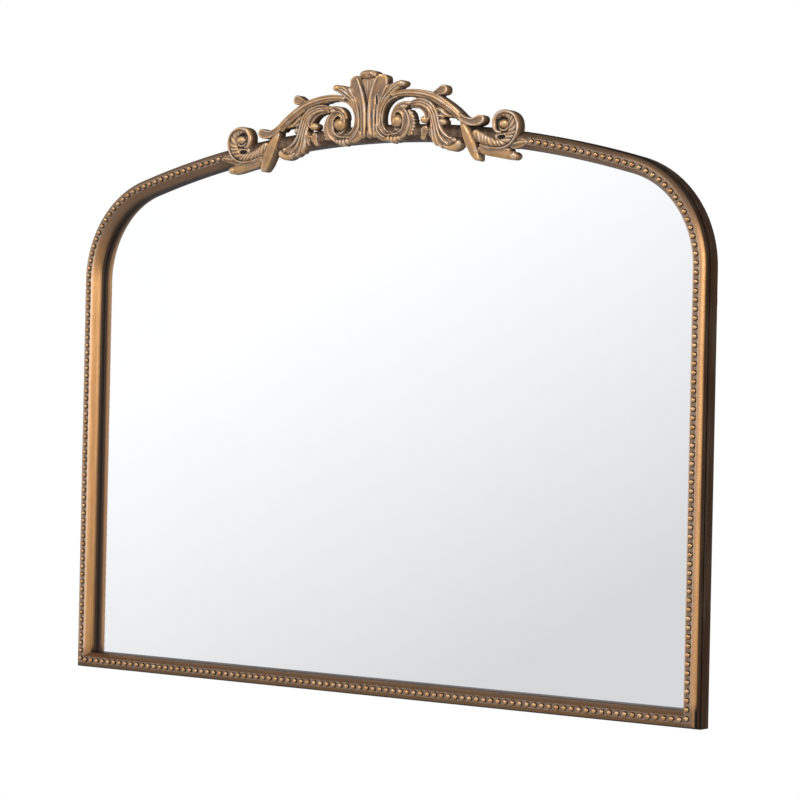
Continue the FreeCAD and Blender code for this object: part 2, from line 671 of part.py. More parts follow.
def setting_blocks():
    """Two packers that fill the gap between the rebate and the foot of the pane."""
    blocks = []
    for side in (-1, 1):
        block = doc.addObject("Part::Box", f"setting_block_{'left' if side < 0 else 'right'}")
        block.setExpression("Length", "Sizes.block_length")
        block.setExpression("Width", "Sizes.glass_thickness")
        block.setExpression("Height", "Sizes.glass_clearance")
        block.setExpression("Placement.Base.x", f"{side} * Sizes.block_offset - Sizes.block_length / 2")
        block.setExpression("Placement.Base.y", "Places.back_y - Places.lip_back_depth")
        block.setExpression("Placement.Base.z", "Places.base_z + Places.rebate_inset")
        blocks.append(block)
    return compound("glass_setting_blocks", blocks)


def wall_pads():
    """Two pads near the bottom corners and one on each shoulder."""
    shoulder = "(Sizes.corner_radius - Sizes.pad_inset) * cos(45deg)"
    spots = (("bottom", "(Places.half_width - Sizes.pad_corner_offset)", "Places.base_z + Sizes.pad_inset"),
             ("shoulder", f"(Places.corner_centre_x + {shoulder})", f"Places.spring_z + {shoulder}"))
    pads = [cylinder(f"{name}_pad_{'left' if side < 0 else 'right'}",
                     "Sizes.pad_radius", "Sizes.pad_thickness",
                     (f"{side} * {x}", "Places.back_y", z), Vector(0, 1, 0))
            for name, x, z in spots for side in (-1, 1)]
    return compound("wall_pads", pads)


# Hangers

def hanger_strap():
    """A strap with a rolled eye, screwed through the board into the right stile."""
    plate = doc.addObject("Part::Box", "strap_plate")
    plate.setExpression("Length", "Sizes.strap_width")
    plate.setExpression("Width", "Sizes.strap_thickness")
    plate.setExpression("Height", "Sizes.strap_length")
    plate.setExpression("Placement.Base.x", "Places.hanger_x - Sizes.strap_width / 2")
    plate.setExpression("Placement.Base.y", "Places.back_y")
    plate.setExpression("Placement.Base.z", "Places.pivot_z - Sizes.strap_length")
    side = "Places.hanger_x - Sizes.strap_width / 2"
    barrel = cylinder("strap_barrel", "Sizes.barrel_radius", "Sizes.strap_width",
                      (side, "Places.pivot_y", "Places.pivot_z"), Vector(1, 0, 0))
    bore = cylinder("strap_bore", "Sizes.ring_wire_radius + Sizes.ring_clearance",
                    "Sizes.strap_width + 2 * Sizes.overrun",
                    (f"{side} - Sizes.overrun", "Places.pivot_y", "Places.pivot_z"), Vector(1, 0, 0))
    holes = [cylinder(f"{alias}_hole", "Sizes.screw_radius + Sizes.hole_clearance",
                      "Sizes.strap_thickness + 2 * Sizes.overrun",
                      ("Places.hanger_x", "Places.back_y - Sizes.overrun", f"Places.pivot_z - Sizes.{alias}"),
                      Vector(0, 1, 0))
             for alias in ("strap_screw_upper", "strap_screw_lower")]
    return cut("right_hanger_strap", fuse("strap_blank", [plate, barrel]),
               fuse("strap_openings", [bore] + holes))


def hanger_ring():
    """A D-shaped ring of round wire that hangs from the strap's rolled eye."""
    half, corner, drop = size("ring_half_width"), size("ring_corner_radius"), size("ring_drop")
    pivot = Vector(place("hanger_x"), place("pivot_y"), place("pivot_z"))

    def at(x, z):
        return pivot + Vector(x, 0, z)

    corner_middle = corner * (1 - math.cos(math.pi / 4))
    spans = [
        Part.LineSegment(at(corner - half, 0), at(half - corner, 0)),
        Part.Arc(at(half - corner, 0), at(half - corner_middle, -corner_middle), at(half, -corner)),
        Part.LineSegment(at(half, -corner), at(half, half - drop)),
        Part.Arc(at(half, half - drop), at(0, -drop), at(-half, half - drop)),
        Part.LineSegment(at(-half, half - drop), at(-half, -corner)),
        Part.Arc(at(-half, -corner), at(corner_middle - half, -corner_middle), at(corner - half, 0)),
    ]
    path = Part.Wire([span.toShape() for span in spans])
    wire = Part.Wire(Part.makeCircle(size("ring_wire_radius"), at(corner - half, 0), Vector(1, 0, 0)))
    return feature("right_hanger_ring", path.makePipeShell([wire], True, False))


# Beading

def ribbon_section(outward, corner):
    """Face of the ribbon across its run, at the bead line point and with its outward direction."""
    half = size("ribbon_width") / 2
    floor = depth_y(place("rail_depth") - size("ribbon_thickness"))
    top = depth_y(place("rail_depth"))
    ring = [corner + outward * side + Vector(0, y, 0)
            for side, y in ((half, floor), (half, top), (-half, top), (-half, floor))]
    return Part.Face(Part.makePolygon(ring + ring[:1]))


def bead(point):
    """A bead that stands on the ribbon at a point of the bead line."""
    radius = size("bead_radius")
    sunk = math.degrees(math.asin(size("bead_sink") / radius))
    seat = Vector(point.x, depth_y(place("rail_depth")), point.z)
    return Part.makeSphere(radius, seat, Vector(0, -1, 0), -sunk, QUARTER_TURN, 4 * QUARTER_TURN)


def evenly(length):
    """Distances of evenly spaced beads along a run, half a space in from each end."""
    count = max(1, round(length / size("bead_pitch")))
    return [(step + 0.5) * length / count for step in range(count)]


def straight_beading(label, start, end, outward):
    run = end - start
    direction = Vector(run).normalize()
    ribbon = ribbon_section(outward, start).extrude(run)
    beads = [bead(start + direction * distance) for distance in evenly(run.Length)]
    return feature(label, ribbon.multiFuse(beads))


def arch_beading():
    """Beads round the shoulder and along the crown to the foot of the crest."""
    line = ArchLine(place("bead_inset"))
    gap_angle = size("ribbon_end_gap") / line.corner_radius
    sweep = math.pi / 2 - line.join
    shoulder = ribbon_section(Vector(math.cos(gap_angle), 0, math.sin(gap_angle)), line.on_corner(gap_angle))
    shoulder = shoulder.revolve(line.corner_centre, Vector(0, -1, 0), math.degrees(sweep - gap_angle))
    crest_angle = math.asin(size("crest_half_width") / line.crown_radius)
    outward = Vector(math.sin(crest_angle), 0, math.cos(crest_angle))
    crown = ribbon_section(outward, line.on_crown(crest_angle))
    crown = crown.revolve(line.crown_centre, Vector(0, 1, 0), math.degrees(line.join - crest_angle))
    corner_run = (sweep - gap_angle) * line.corner_radius
    crown_run = (line.join - crest_angle) * line.crown_radius
    points = []
    for distance in evenly(corner_run + crown_run):
        if distance < corner_run:
            points.append(line.on_corner(gap_angle + distance / line.corner_radius))
        else:
            points.append(line.on_crown(line.join - (distance - corner_run) / line.crown_radius))
    return feature("right_arch_beading", shoulder.multiFuse([crown] + [bead(point) for point in points]))


# Crest

def crest_place(shares):
    """A point of the crest, from its shares across the half width and up the rise from the zero line."""
    across = shares[0] * size("crest_half_width")
    zero_line = ArchLine(size("crest_sink")).crown_height(across)
    return Vector(across, 0, zero_line + shares[1] * size("crest_rise"))


def crest_front(share):
    return depth_y(size("crest_back_depth") + share * size("crest_thickness"))


def stroke(spine, widths, front_share):
    """A flat tapered band along a smooth spine, round at both ends, from the crest's back to its front."""
    curve = Part.BSplineCurve()
    curve.interpolate(spine)
    lefts, rights, directions = [], [], []
    for point, width in zip(spine, widths):
        direction = Vector(*curve.tangent(curve.parameter(point))[0])
        across = Vector(-direction.z, 0, direction.x) * (width / 2)
        lefts.append(point + across)
        rights.append(point - across)
        directions.append(direction)
    left_edge, right_edge = Part.BSplineCurve(), Part.BSplineCurve()
    left_edge.interpolate(lefts)
    right_edge.interpolate(rights)
    end_cap = Part.Arc(lefts[-1], spine[-1] + directions[-1] * (widths[-1] / 2), rights[-1])
    start_cap = Part.Arc(lefts[0], spine[0] - directions[0] * (widths[0] / 2), rights[0])
    outline = Part.Wire([left_edge.toShape(), end_cap.toShape(), right_edge.toShape(), start_cap.toShape()])
    back = depth_y(size("crest_back_depth"))
    outline.translate(Vector(0, back, 0))
    return Part.Face(outline).extrude(Vector(0, crest_front(front_share) - back, 0))


def stroke_from_shares(spine_shares, width_shares, front_share):
    spine = [crest_place(shares) for shares in spine_shares]
    return stroke(spine, [share * size("crest_rise") for share in width_shares], front_share)


def spiral(eye_shares, radius_shares):
    """Points that wind out of an eye clockwise from its foot, with a radius given at each quarter turn."""
    eye = crest_place(eye_shares)
    points = []
    for step in range((len(radius_shares) - 1) * SPIRAL_STEPS + 1):
        quarter, part = divmod(step, SPIRAL_STEPS)
        inner = radius_shares[quarter]
        outer = radius_shares[min(quarter + 1, len(radius_shares) - 1)]
        radius = size("crest_rise") * (inner + (outer - inner) * part / SPIRAL_STEPS)
        angle = math.radians(-QUARTER_TURN * (1 + step / SPIRAL_STEPS))
        points.append(eye + Vector(math.cos(angle), 0, math.sin(angle)) * radius)
    return points


def scroll_stroke(eye_shares, radius_shares, scroll_widths, tail_shares, tail_widths, front_share):
    """A band that winds out of an eye and runs on along a tail."""
    coil = spiral(eye_shares, radius_shares)
    inner, outer = scroll_widths
    widths = [inner + (outer - inner) * step / (len(coil) - 1) for step in range(len(coil))]
    rise = size("crest_rise")
    return stroke(coil + [crest_place(shares) for shares in tail_shares],
                  [share * rise for share in widths + list(tail_widths)], front_share)


def knob(centre_shares, radius_share, front_share):
    """A round boss with a domed front."""
    centre = crest_place(centre_shares)
    radius = radius_share * size("crest_rise")
    dome_height = radius * DOME_HEIGHT_SHARE
    back, front = depth_y(size("crest_back_depth")), crest_front(front_share)
    dome_radius = (radius ** 2 + dome_height ** 2) / (2 * dome_height)
    half_angle = math.asin(radius / dome_radius) / 2
    axis_back, rim_back = centre + Vector(0, back, 0), centre + Vector(radius, back, 0)
    rim_front, tip = centre + Vector(radius, front + dome_height, 0), centre + Vector(0, front, 0)
    on_dome = tip + Vector(math.sin(half_angle), 1 - math.cos(half_angle), 0) * dome_radius
    half_section = Part.Wire([
        Part.LineSegment(axis_back, rim_back).toShape(),
        Part.LineSegment(rim_back, rim_front).toShape(),
        Part.Arc(rim_front, on_dome, tip).toShape(),
        Part.LineSegment(tip, axis_back).toShape(),
    ])
    return Part.Face(half_section).revolve(centre, Vector(0, 1, 0), 4 * QUARTER_TURN)


def rail_under_crest():
    """The crown of the frame, grown by the glue line, that the crest is fitted over."""
    line = ArchLine(0.0)
    axis, up = Vector(0, 1, 0), line.crown_height(0)
    reach = math.degrees(line.join)
    face = section_face(up, size("crest_seat_gap"))
    face.rotate(line.crown_centre, axis, -reach)
    return face.revolve(line.crown_centre, axis, 2 * reach)


def crest_pin(across, name, clearance_formula):
    """A pin that stands half in the rail and half in the crest, at a share of the crest's half width."""
    top = f"(Places.crown_centre_z + sqrt(Places.crown_radius^2 - ({across} * Sizes.crest_half_width)^2))"
    return cylinder(name, f"Sizes.crest_pin_radius + {clearance_formula}",
                    f"Sizes.crest_pin_length + 2 * {clearance_formula}",
                    (f"{across} * Sizes.crest_half_width", "Places.back_y - Sizes.crest_pin_depth",
                     f"{top} - Sizes.crest_pin_length / 2 - {clearance_formula}"), Vector(0, 0, 1))


def joined(pieces):
    return pieces[0].multiFuse(pieces[1:])


def palmette_strokes():
    right = [stroke_from_shares(*shares) for shares in PALMETTE_STROKE_SHARES.values()]
    left = [shape.mirror(Vector(), Vector(1, 0, 0)) for shape in right]
    middle = [stroke_from_shares(*shares) for shares in (PALMETTE_CORE_SHARES, PALMETTE_CAP_SHARES)]
    return middle + right + left


def spray_blank():
    scroll = scroll_stroke(SCROLL_EYE_SHARES, SCROLL_RADIUS_SHARES, SCROLL_WIDTH_SHARES,
                           STEM_SPINE_SHARES, STEM_WIDTH_SHARES, BAND_FRONT_SHARE)
    volute = scroll_stroke(VOLUTE_EYE_SHARES, VOLUTE_RADIUS_SHARES, VOLUTE_WIDTH_SHARES,
                           TAIL_SPINE_SHARES, TAIL_WIDTH_SHARES, BAND_FRONT_SHARE)
    strokes = [stroke_from_shares(*shares) for shares in SPRAY_STROKE_SHARES.values()]
    knobs = [knob(*shares) for shares in SPRAY_KNOB_SHARES.values()]
    return joined([scroll, volute] + strokes + knobs)


# Assembly

NO_CLEARANCE = "0"
HOLE_CLEARANCE = "Sizes.hole_clearance"

holes = screw_holes()
right_slot = mitre_spline("right_spline_slot", HOLE_CLEARANCE)
left_slot = mirrored("left_spline_slot", right_slot)
right_spring_hole = spring_dowel("right_spring_hole", HOLE_CLEARANCE)
crown_hole = crown_dowel("crown_hole", HOLE_CLEARANCE)
right_pin_shares = [share for share in PALMETTE_PIN_SHARES if share > 0] + list(SPRAY_PIN_SHARES)
pin_holes = [crest_pin(share, f"crest_pin_hole_{count}", HOLE_CLEARANCE)
             for count, share in enumerate(right_pin_shares)]

stile = cut("frame_right_stile", right_stile(), fuse("stile_holes", [holes, right_slot, right_spring_hole]))
arch = cut("frame_right_arch", right_arch(),
           fuse("arch_holes", [holes, right_spring_hole, crown_hole] + pin_holes))
rails = [
    cut("frame_bottom_rail", bottom_rail(), fuse("bottom_holes", [holes, right_slot, left_slot])),
    stile, mirrored("frame_left_stile", stile),
    arch, mirrored("frame_left_arch", arch),
]

spline = mitre_spline("right_spline", NO_CLEARANCE)
dowel = spring_dowel("right_dowel", NO_CLEARANCE)
joints = [
    compound("mitre_splines", [spline, mirrored("left_spline", spline)]),
    compound("spring_dowels", [dowel, mirrored("left_dowel", dowel)]),
    labelled(crown_dowel("crown_dowel_pin", NO_CLEARANCE), "crown_dowel"),
]

glazing = [
    labelled(arched_sheet("glass", "glass_inset", "Sizes.pad_thickness + Sizes.board_thickness"
                          " + Sizes.cushion_thickness", "glass_thickness"), "mirror_glass"),
    labelled(arched_sheet("cushion", "cushion_inset", "Sizes.pad_thickness + Sizes.board_thickness",
                          "cushion_thickness"), "glass_cushion_sheet"),
    cut("backing_board", arched_sheet("board", "board_inset", "Sizes.pad_thickness", "board_thickness"),
        holes),
    setting_blocks(),
    wall_pads(),
]

screw = screw_body()
doc.recompute()
strap = hanger_strap()
ring = hanger_ring()
hardware = [
    screws_at("backing_screws", screw, backing_screw_points(), place("back_y")),
    screws_at("hanger_screws", screw, hanger_screw_points(), place("back_y") + size("strap_thickness")),
    strap, mirrored("left_hanger_strap", strap),
    ring, mirrored("left_hanger_ring", ring),
]

bead_line = ArchLine(place("bead_inset"))
corner_run = Vector(size("ribbon_width") / 2 + size("ribbon_end_gap"), 0, 0)
bottom_left = Vector(-bead_line.half_width, 0, bead_line.base_z) + corner_run
bottom_right = Vector(bead_line.half_width, 0, bead_line.base_z) - corner_run
stile_foot = Vector(bead_line.half_width, 0, bead_line.base_z - size("ribbon_width") / 2)
stile_head = Vector(bead_line.half_width, 0, bead_line.spring_z - size("ribbon_end_gap"))
stile_beading = straight_beading("right_stile_beading", stile_foot, stile_head, Vector(1, 0, 0))
round_beading = arch_beading()
beading = [
    straight_beading("bottom_beading", bottom_left, bottom_right, Vector(0, 0, -1)),
    stile_beading, mirrored("left_stile_beading", stile_beading),
    round_beading, mirrored("left_arch_beading", round_beading),
]

seat = rail_under_crest()
leaves = palmette_strokes()
palmette = joined([leaf.cut(seat) for leaf in leaves])
spray = spray_blank().cut(joined(leaves))
all_pin_holes = compound("all_crest_pin_holes", pin_holes)
right_spray = cut("crest_right_spray", feature("right_spray_blank", spray.cut(seat)), all_pin_holes)
left_palmette_holes = mirrored("left_crest_pin_holes", all_pin_holes)
crest_pins = [crest_pin(share, f"crest_pin_{count}", NO_CLEARANCE)
              for count, share in enumerate(right_pin_shares)]
right_pins = compound("right_crest_pins", crest_pins)
crest = [
    cut("crest_palmette", feature("palmette_blank", palmette),
        fuse("palmette_pin_holes", [all_pin_holes, left_palmette_holes])),
    right_spray, mirrored("crest_left_spray", right_spray),
    compound("crest_pins", [right_pins, mirrored("left_crest_pins", right_pins)]),
]

doc.recompute()

# Checks, then one file for each piece

nodes = rails + joints + glazing + hardware + beading + crest

for item in doc.Objects:
    if "Invalid" in item.State or "Error" in item.State:
        raise RuntimeError(f"{item.Label} did not recompute: {item.State}")

os.makedirs("parts", exist_ok=True)
for node in nodes:
    if node.Shape.isNull() or not node.Shape.isValid() or not node.Shape.Solids:
        raise RuntimeError(f"{node.Label} has no valid solid")
for node in nodes:
    node.Shape.exportStep(os.path.join("parts", f"{node.Label}.step"))
    box = node.Shape.BoundBox
    print(f"{node.Label}: {len(node.Shape.Solids)} solids, {node.Shape.Volume:.0f} mm3, "
          f"X {box.XMin:.1f} {box.XMax:.1f} Y {box.YMin:.1f} {box.YMax:.1f} Z {box.ZMin:.1f} {box.ZMax:.1f}")
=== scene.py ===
"""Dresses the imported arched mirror: its bronze paint, carved crest, silvered pane and back fittings."""

import logging
import math
from collections.abc import Callable
from dataclasses import dataclass, field, replace
from enum import Enum

import bpy
import numpy as np
from mathutils import Matrix, Vector


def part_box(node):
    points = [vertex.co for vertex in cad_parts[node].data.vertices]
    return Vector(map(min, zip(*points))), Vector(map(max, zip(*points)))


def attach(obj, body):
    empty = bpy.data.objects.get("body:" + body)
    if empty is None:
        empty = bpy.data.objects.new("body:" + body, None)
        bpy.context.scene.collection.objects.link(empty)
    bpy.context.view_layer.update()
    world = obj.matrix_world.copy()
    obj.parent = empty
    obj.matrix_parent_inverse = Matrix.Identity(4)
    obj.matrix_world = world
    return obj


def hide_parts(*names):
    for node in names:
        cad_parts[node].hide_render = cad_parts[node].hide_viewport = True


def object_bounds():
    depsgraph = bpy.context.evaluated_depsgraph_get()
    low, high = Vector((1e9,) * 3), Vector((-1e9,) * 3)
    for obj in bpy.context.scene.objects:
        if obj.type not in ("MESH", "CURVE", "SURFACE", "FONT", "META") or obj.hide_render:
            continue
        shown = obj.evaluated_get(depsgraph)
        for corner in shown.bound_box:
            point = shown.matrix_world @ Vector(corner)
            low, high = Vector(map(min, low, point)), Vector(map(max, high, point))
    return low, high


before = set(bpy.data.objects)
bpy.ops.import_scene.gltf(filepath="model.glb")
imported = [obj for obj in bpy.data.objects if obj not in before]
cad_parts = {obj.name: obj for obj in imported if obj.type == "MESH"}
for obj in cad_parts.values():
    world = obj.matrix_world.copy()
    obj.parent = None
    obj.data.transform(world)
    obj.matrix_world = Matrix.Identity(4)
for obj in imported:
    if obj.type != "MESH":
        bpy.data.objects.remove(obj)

LOG = logging.getLogger("arched_mirror")
MM = 0.001
CAD_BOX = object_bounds()

Colour = tuple[float, float, float]
Triple = tuple[float, float, float]
Point = tuple[float, float]
Run = tuple[float, float]
Socket = bpy.types.NodeSocket


class Section(Enum):
    """Shape of a carved member across its width."""

    ROUND = "half round"
    ROOF = "two slopes that meet in a middle ridge"
    CHANNEL = "hollow between two raised rims"
    HOLLOW = "hollow with one raised rim, on the left of its path"
    RIBBED = "round, cut into ribs along its length"
    ROPE = "round, cut by slanting flutes"


class WearAndShading(Enum):
    """What the attributes of a casting tell its paint: where it is worn, and where shade and highlights are
    painted.
    """

    SWELL = "swell"
    EDGE = "edge"
    SLOT = "slot"


def smooth_through(values: np.ndarray, knots: np.ndarray, at: np.ndarray) -> np.ndarray:
    """Runs a smooth curve through values.

    Args:
        values: Rows of numbers, one row for each knot.
        knots: Rising places of the rows along the curve.
        at: Places to read the curve.

    Returns:
        One row for each place.
    """
    slopes = np.gradient(values, knots, axis=0)
    left = np.clip(np.searchsorted(knots, at) - 1, 0, len(knots) - 2)
    gap = (knots[left + 1] - knots[left])[:, None]
    t = ((at - knots[left])[:, None]) / gap
    start = (2 * t**3 - 3 * t**2 + 1) * values[left] + (t**3 - 2 * t**2 + t) * gap * slopes[left]
    end = (3 * t**2 - 2 * t**3) * values[left + 1] + (t**3 - t**2) * gap * slopes[left + 1]
    return start + end


def only(obj: bpy.types.Object) -> None:
    """Makes obj the one selected and active object."""
    bpy.ops.object.select_all(action="DESELECT")
    obj.select_set(True)
    bpy.context.view_layer.objects.active = obj


def edit_all(operator: Callable[..., set[str]], **settings: object) -> None:
    """Runs an operator on the whole mesh of the active object.

    Args:
        operator: A mesh operator of edit mode.
        settings: The operator's settings.
    """
    bpy.ops.object.mode_set(mode="EDIT")
    bpy.ops.mesh.select_all(action="SELECT")
    operator(**settings)
    bpy.ops.object.mode_set(mode="OBJECT")


def read_points(mesh: bpy.types.Mesh) -> np.ndarray:
    """Gives a mesh's vertices as rows of x, y, z."""
    flat = np.empty(len(mesh.vertices) * 3)
    mesh.vertices.foreach_get("co", flat)
    return flat.reshape(-1, 3)


def write_points(mesh: bpy.types.Mesh, points: np.ndarray) -> None:
    """Puts a mesh's vertices at the rows of points."""
    mesh.vertices.foreach_set("co", np.ascontiguousarray(points).ravel())
    mesh.update()


@dataclass
class NodeSheet:
    """A node tree, with short ways to add and join nodes.

    Attributes:
        tree: The tree of a material or of the world.
    """

    tree: bpy.types.NodeTree

    def add(self, kind: str, **settings: object) -> bpy.types.Node:
        """Adds a node.

        Args:
            kind: The node's type name.
            settings: Properties of the node to set.

        Returns:
            The node.
        """
        node = self.tree.nodes.new(kind)
        for name, value in settings.items():
            setattr(node, name, value)
        return node

    def feed(self, socket: Socket, value: object) -> None:
        """Joins a socket to another, or sets its own value."""
        if isinstance(value, Socket):
            self.tree.links.new(value, socket)
        elif isinstance(value, tuple) and socket.type == "RGBA":
            socket.default_value = (*value, 1.0)
        else:
            socket.default_value = value

    def coordinates(self, output: str = "Object") -> Socket:
        """Gives one output of the texture coordinates."""
        return self.add("ShaderNodeTexCoord").outputs[output]

    def attribute(self, wear: WearAndShading) -> Socket:
        """Gives what an attribute of the casting says."""
        return self.add("ShaderNodeAttribute", attribute_name=wear.value).outputs["Fac"]

    def parts(self, vector: Socket) -> tuple[Socket, ...]:
        """Gives a vector's x, y and z."""
        node = self.add("ShaderNodeSeparateXYZ")
        self.feed(node.inputs[0], vector)
        return tuple(node.outputs)

    def math(self, operation: str, first: object, second: object = 0.0) -> Socket:
        """Works out a sum of two numbers and gives its answer."""
        node = self.add("ShaderNodeMath", operation=operation)
        self.feed(node.inputs[0], first)
        self.feed(node.inputs[1], second)
        return node.outputs[0]

    def times(self, product: object, *factors: object) -> Socket:
        """Multiplies two or more numbers."""
        for factor in factors:
            product = self.math("MULTIPLY", product, factor)
        return product

    def step(self, value: object, low: float, high: float) -> Socket:
        """Gives 0 before low and 1 after high, with a soft run between; low may be the greater."""
        node = self.add("ShaderNodeMapRange", interpolation_type="SMOOTHSTEP")
        self.feed(node.inputs["Value"], value)
        self.feed(node.inputs["From Min"], low)
        self.feed(node.inputs["From Max"], high)
        return node.outputs["Result"]

    def scale(self, value: object, low: float, high: float) -> Socket:
        """Stretches a number from 0 to 1 so that it runs from low to high."""
        node = self.add("ShaderNodeMapRange")
        self.feed(node.inputs["Value"], value)
        self.feed(node.inputs["To Min"], low)
        self.feed(node.inputs["To Max"], high)
        return node.outputs["Result"]

    def mix(self, share: object, first: object, second: object) -> Socket:
        """Blends two colours by a share and gives the blend."""
        node = self.add("ShaderNodeMix", data_type="RGBA")
        for identifier, value in (("Factor_Float", share), ("A_Color", first), ("B_Color", second)):
            self.feed(next(s for s in node.inputs if s.identifier == identifier), value)
        return next(s for s in node.outputs if s.identifier == "Result_Color")

    def coats(self, colour: object, *coats: tuple[object, object]) -> Socket:
        """Lays coats over a colour in turn, each given as its share and its own colour."""
        for share, tone in coats:
            colour = self.mix(share, colour, tone)
        return colour

    def noise(self, scale: float, detail: float = 4.0, stretch: Triple = (1.0, 1.0, 1.0)) -> Socket:
        """Gives cloudy noise on Object coordinates, finer as scale and stretch grow."""
        mapping = self.add("ShaderNodeMapping")
        self.feed(mapping.inputs["Vector"], self.coordinates())
        self.feed(mapping.inputs["Scale"], Vector(stretch))
        node = self.add("ShaderNodeTexNoise")
        self.feed(node.inputs["Vector"], mapping.outputs["Vector"])
        self.feed(node.inputs["Scale"], scale)
        self.feed(node.inputs["Detail"], detail)
        return node.outputs["Fac"]

    def cells(self, scale: float) -> Socket:
        """Gives the distance to the nearest of scattered points, on Object coordinates."""
        node = self.add("ShaderNodeTexVoronoi")
        self.feed(node.inputs["Vector"], self.coordinates())
        self.feed(node.inputs["Scale"], scale)
        return node.outputs["Distance"]


@dataclass
class Finish:
    """Start of every finish: a named material and its main shader.

    Attributes:
        name: The material's name.
    """

    name: str
    material: bpy.types.Material = field(init=False)
    sheet: NodeSheet = field(init=False)

    def __post_init__(self) -> None:
        """Makes the material and lays out its nodes."""
        self.material = bpy.data.materials.new(self.name)
        self.material.use_nodes = True
        self.sheet = NodeSheet(self.material.node_tree)
        self.paint(self.sheet)

    def paint(self, sheet: NodeSheet) -> None:
        """Lays out the nodes; each finish has its own way."""
        raise NotImplementedError

    def shader(self, **values: object) -> None:
        """Feeds the main shader's sockets, named with underscores for spaces."""
        sockets = self.material.node_tree.nodes["Principled BSDF"].inputs
        for name, value in values.items():
            self.sheet.feed(sockets[name.replace("_", " ")], value)

    def relief(self, height: object, distance: float, strength: float = 1.0) -> None:
        """Gives the surface a fine relief from a height, distance metres deep."""
        node = self.sheet.add("ShaderNodeBump")
        self.sheet.feed(node.inputs["Strength"], strength)
        self.sheet.feed(node.inputs["Distance"], distance)
        self.sheet.feed(node.inputs["Height"], height)
        self.shader(Normal=node.outputs["Normal"])

    def dress(self, *pieces: bpy.types.Object) -> None:
        """Puts the finish on every material slot of the pieces."""
        for piece in pieces:
            if not piece.material_slots:
                piece.data.materials.append(self.material)
            for place in piece.material_slots:
                place.material = self.material


@dataclass(frozen=True)
class BronzeTones:
    """Colours of the antique bronze paint, from the painted shade at the bottom of a hollow to a worn edge;
    the two darkest stand for shade, and the brightest partly for highlights.
    """

    # black of the painted shade in creases, gaps, hollows and slots
    painted_shade: Colour = (0.010, 0.008, 0.006)
    umber: Colour = (0.076, 0.042, 0.023)
    brown: Colour = (0.200, 0.124, 0.078)
    gold: Colour = (0.460, 0.235, 0.092)
    bright: Colour = (0.680, 0.360, 0.145)
    chalk: Colour = (0.560, 0.410, 0.320)
    honey: Colour = (0.820, 0.520, 0.280)
    cream: Colour = (0.850, 0.620, 0.460)
    russet: Colour = (0.120, 0.060, 0.032)


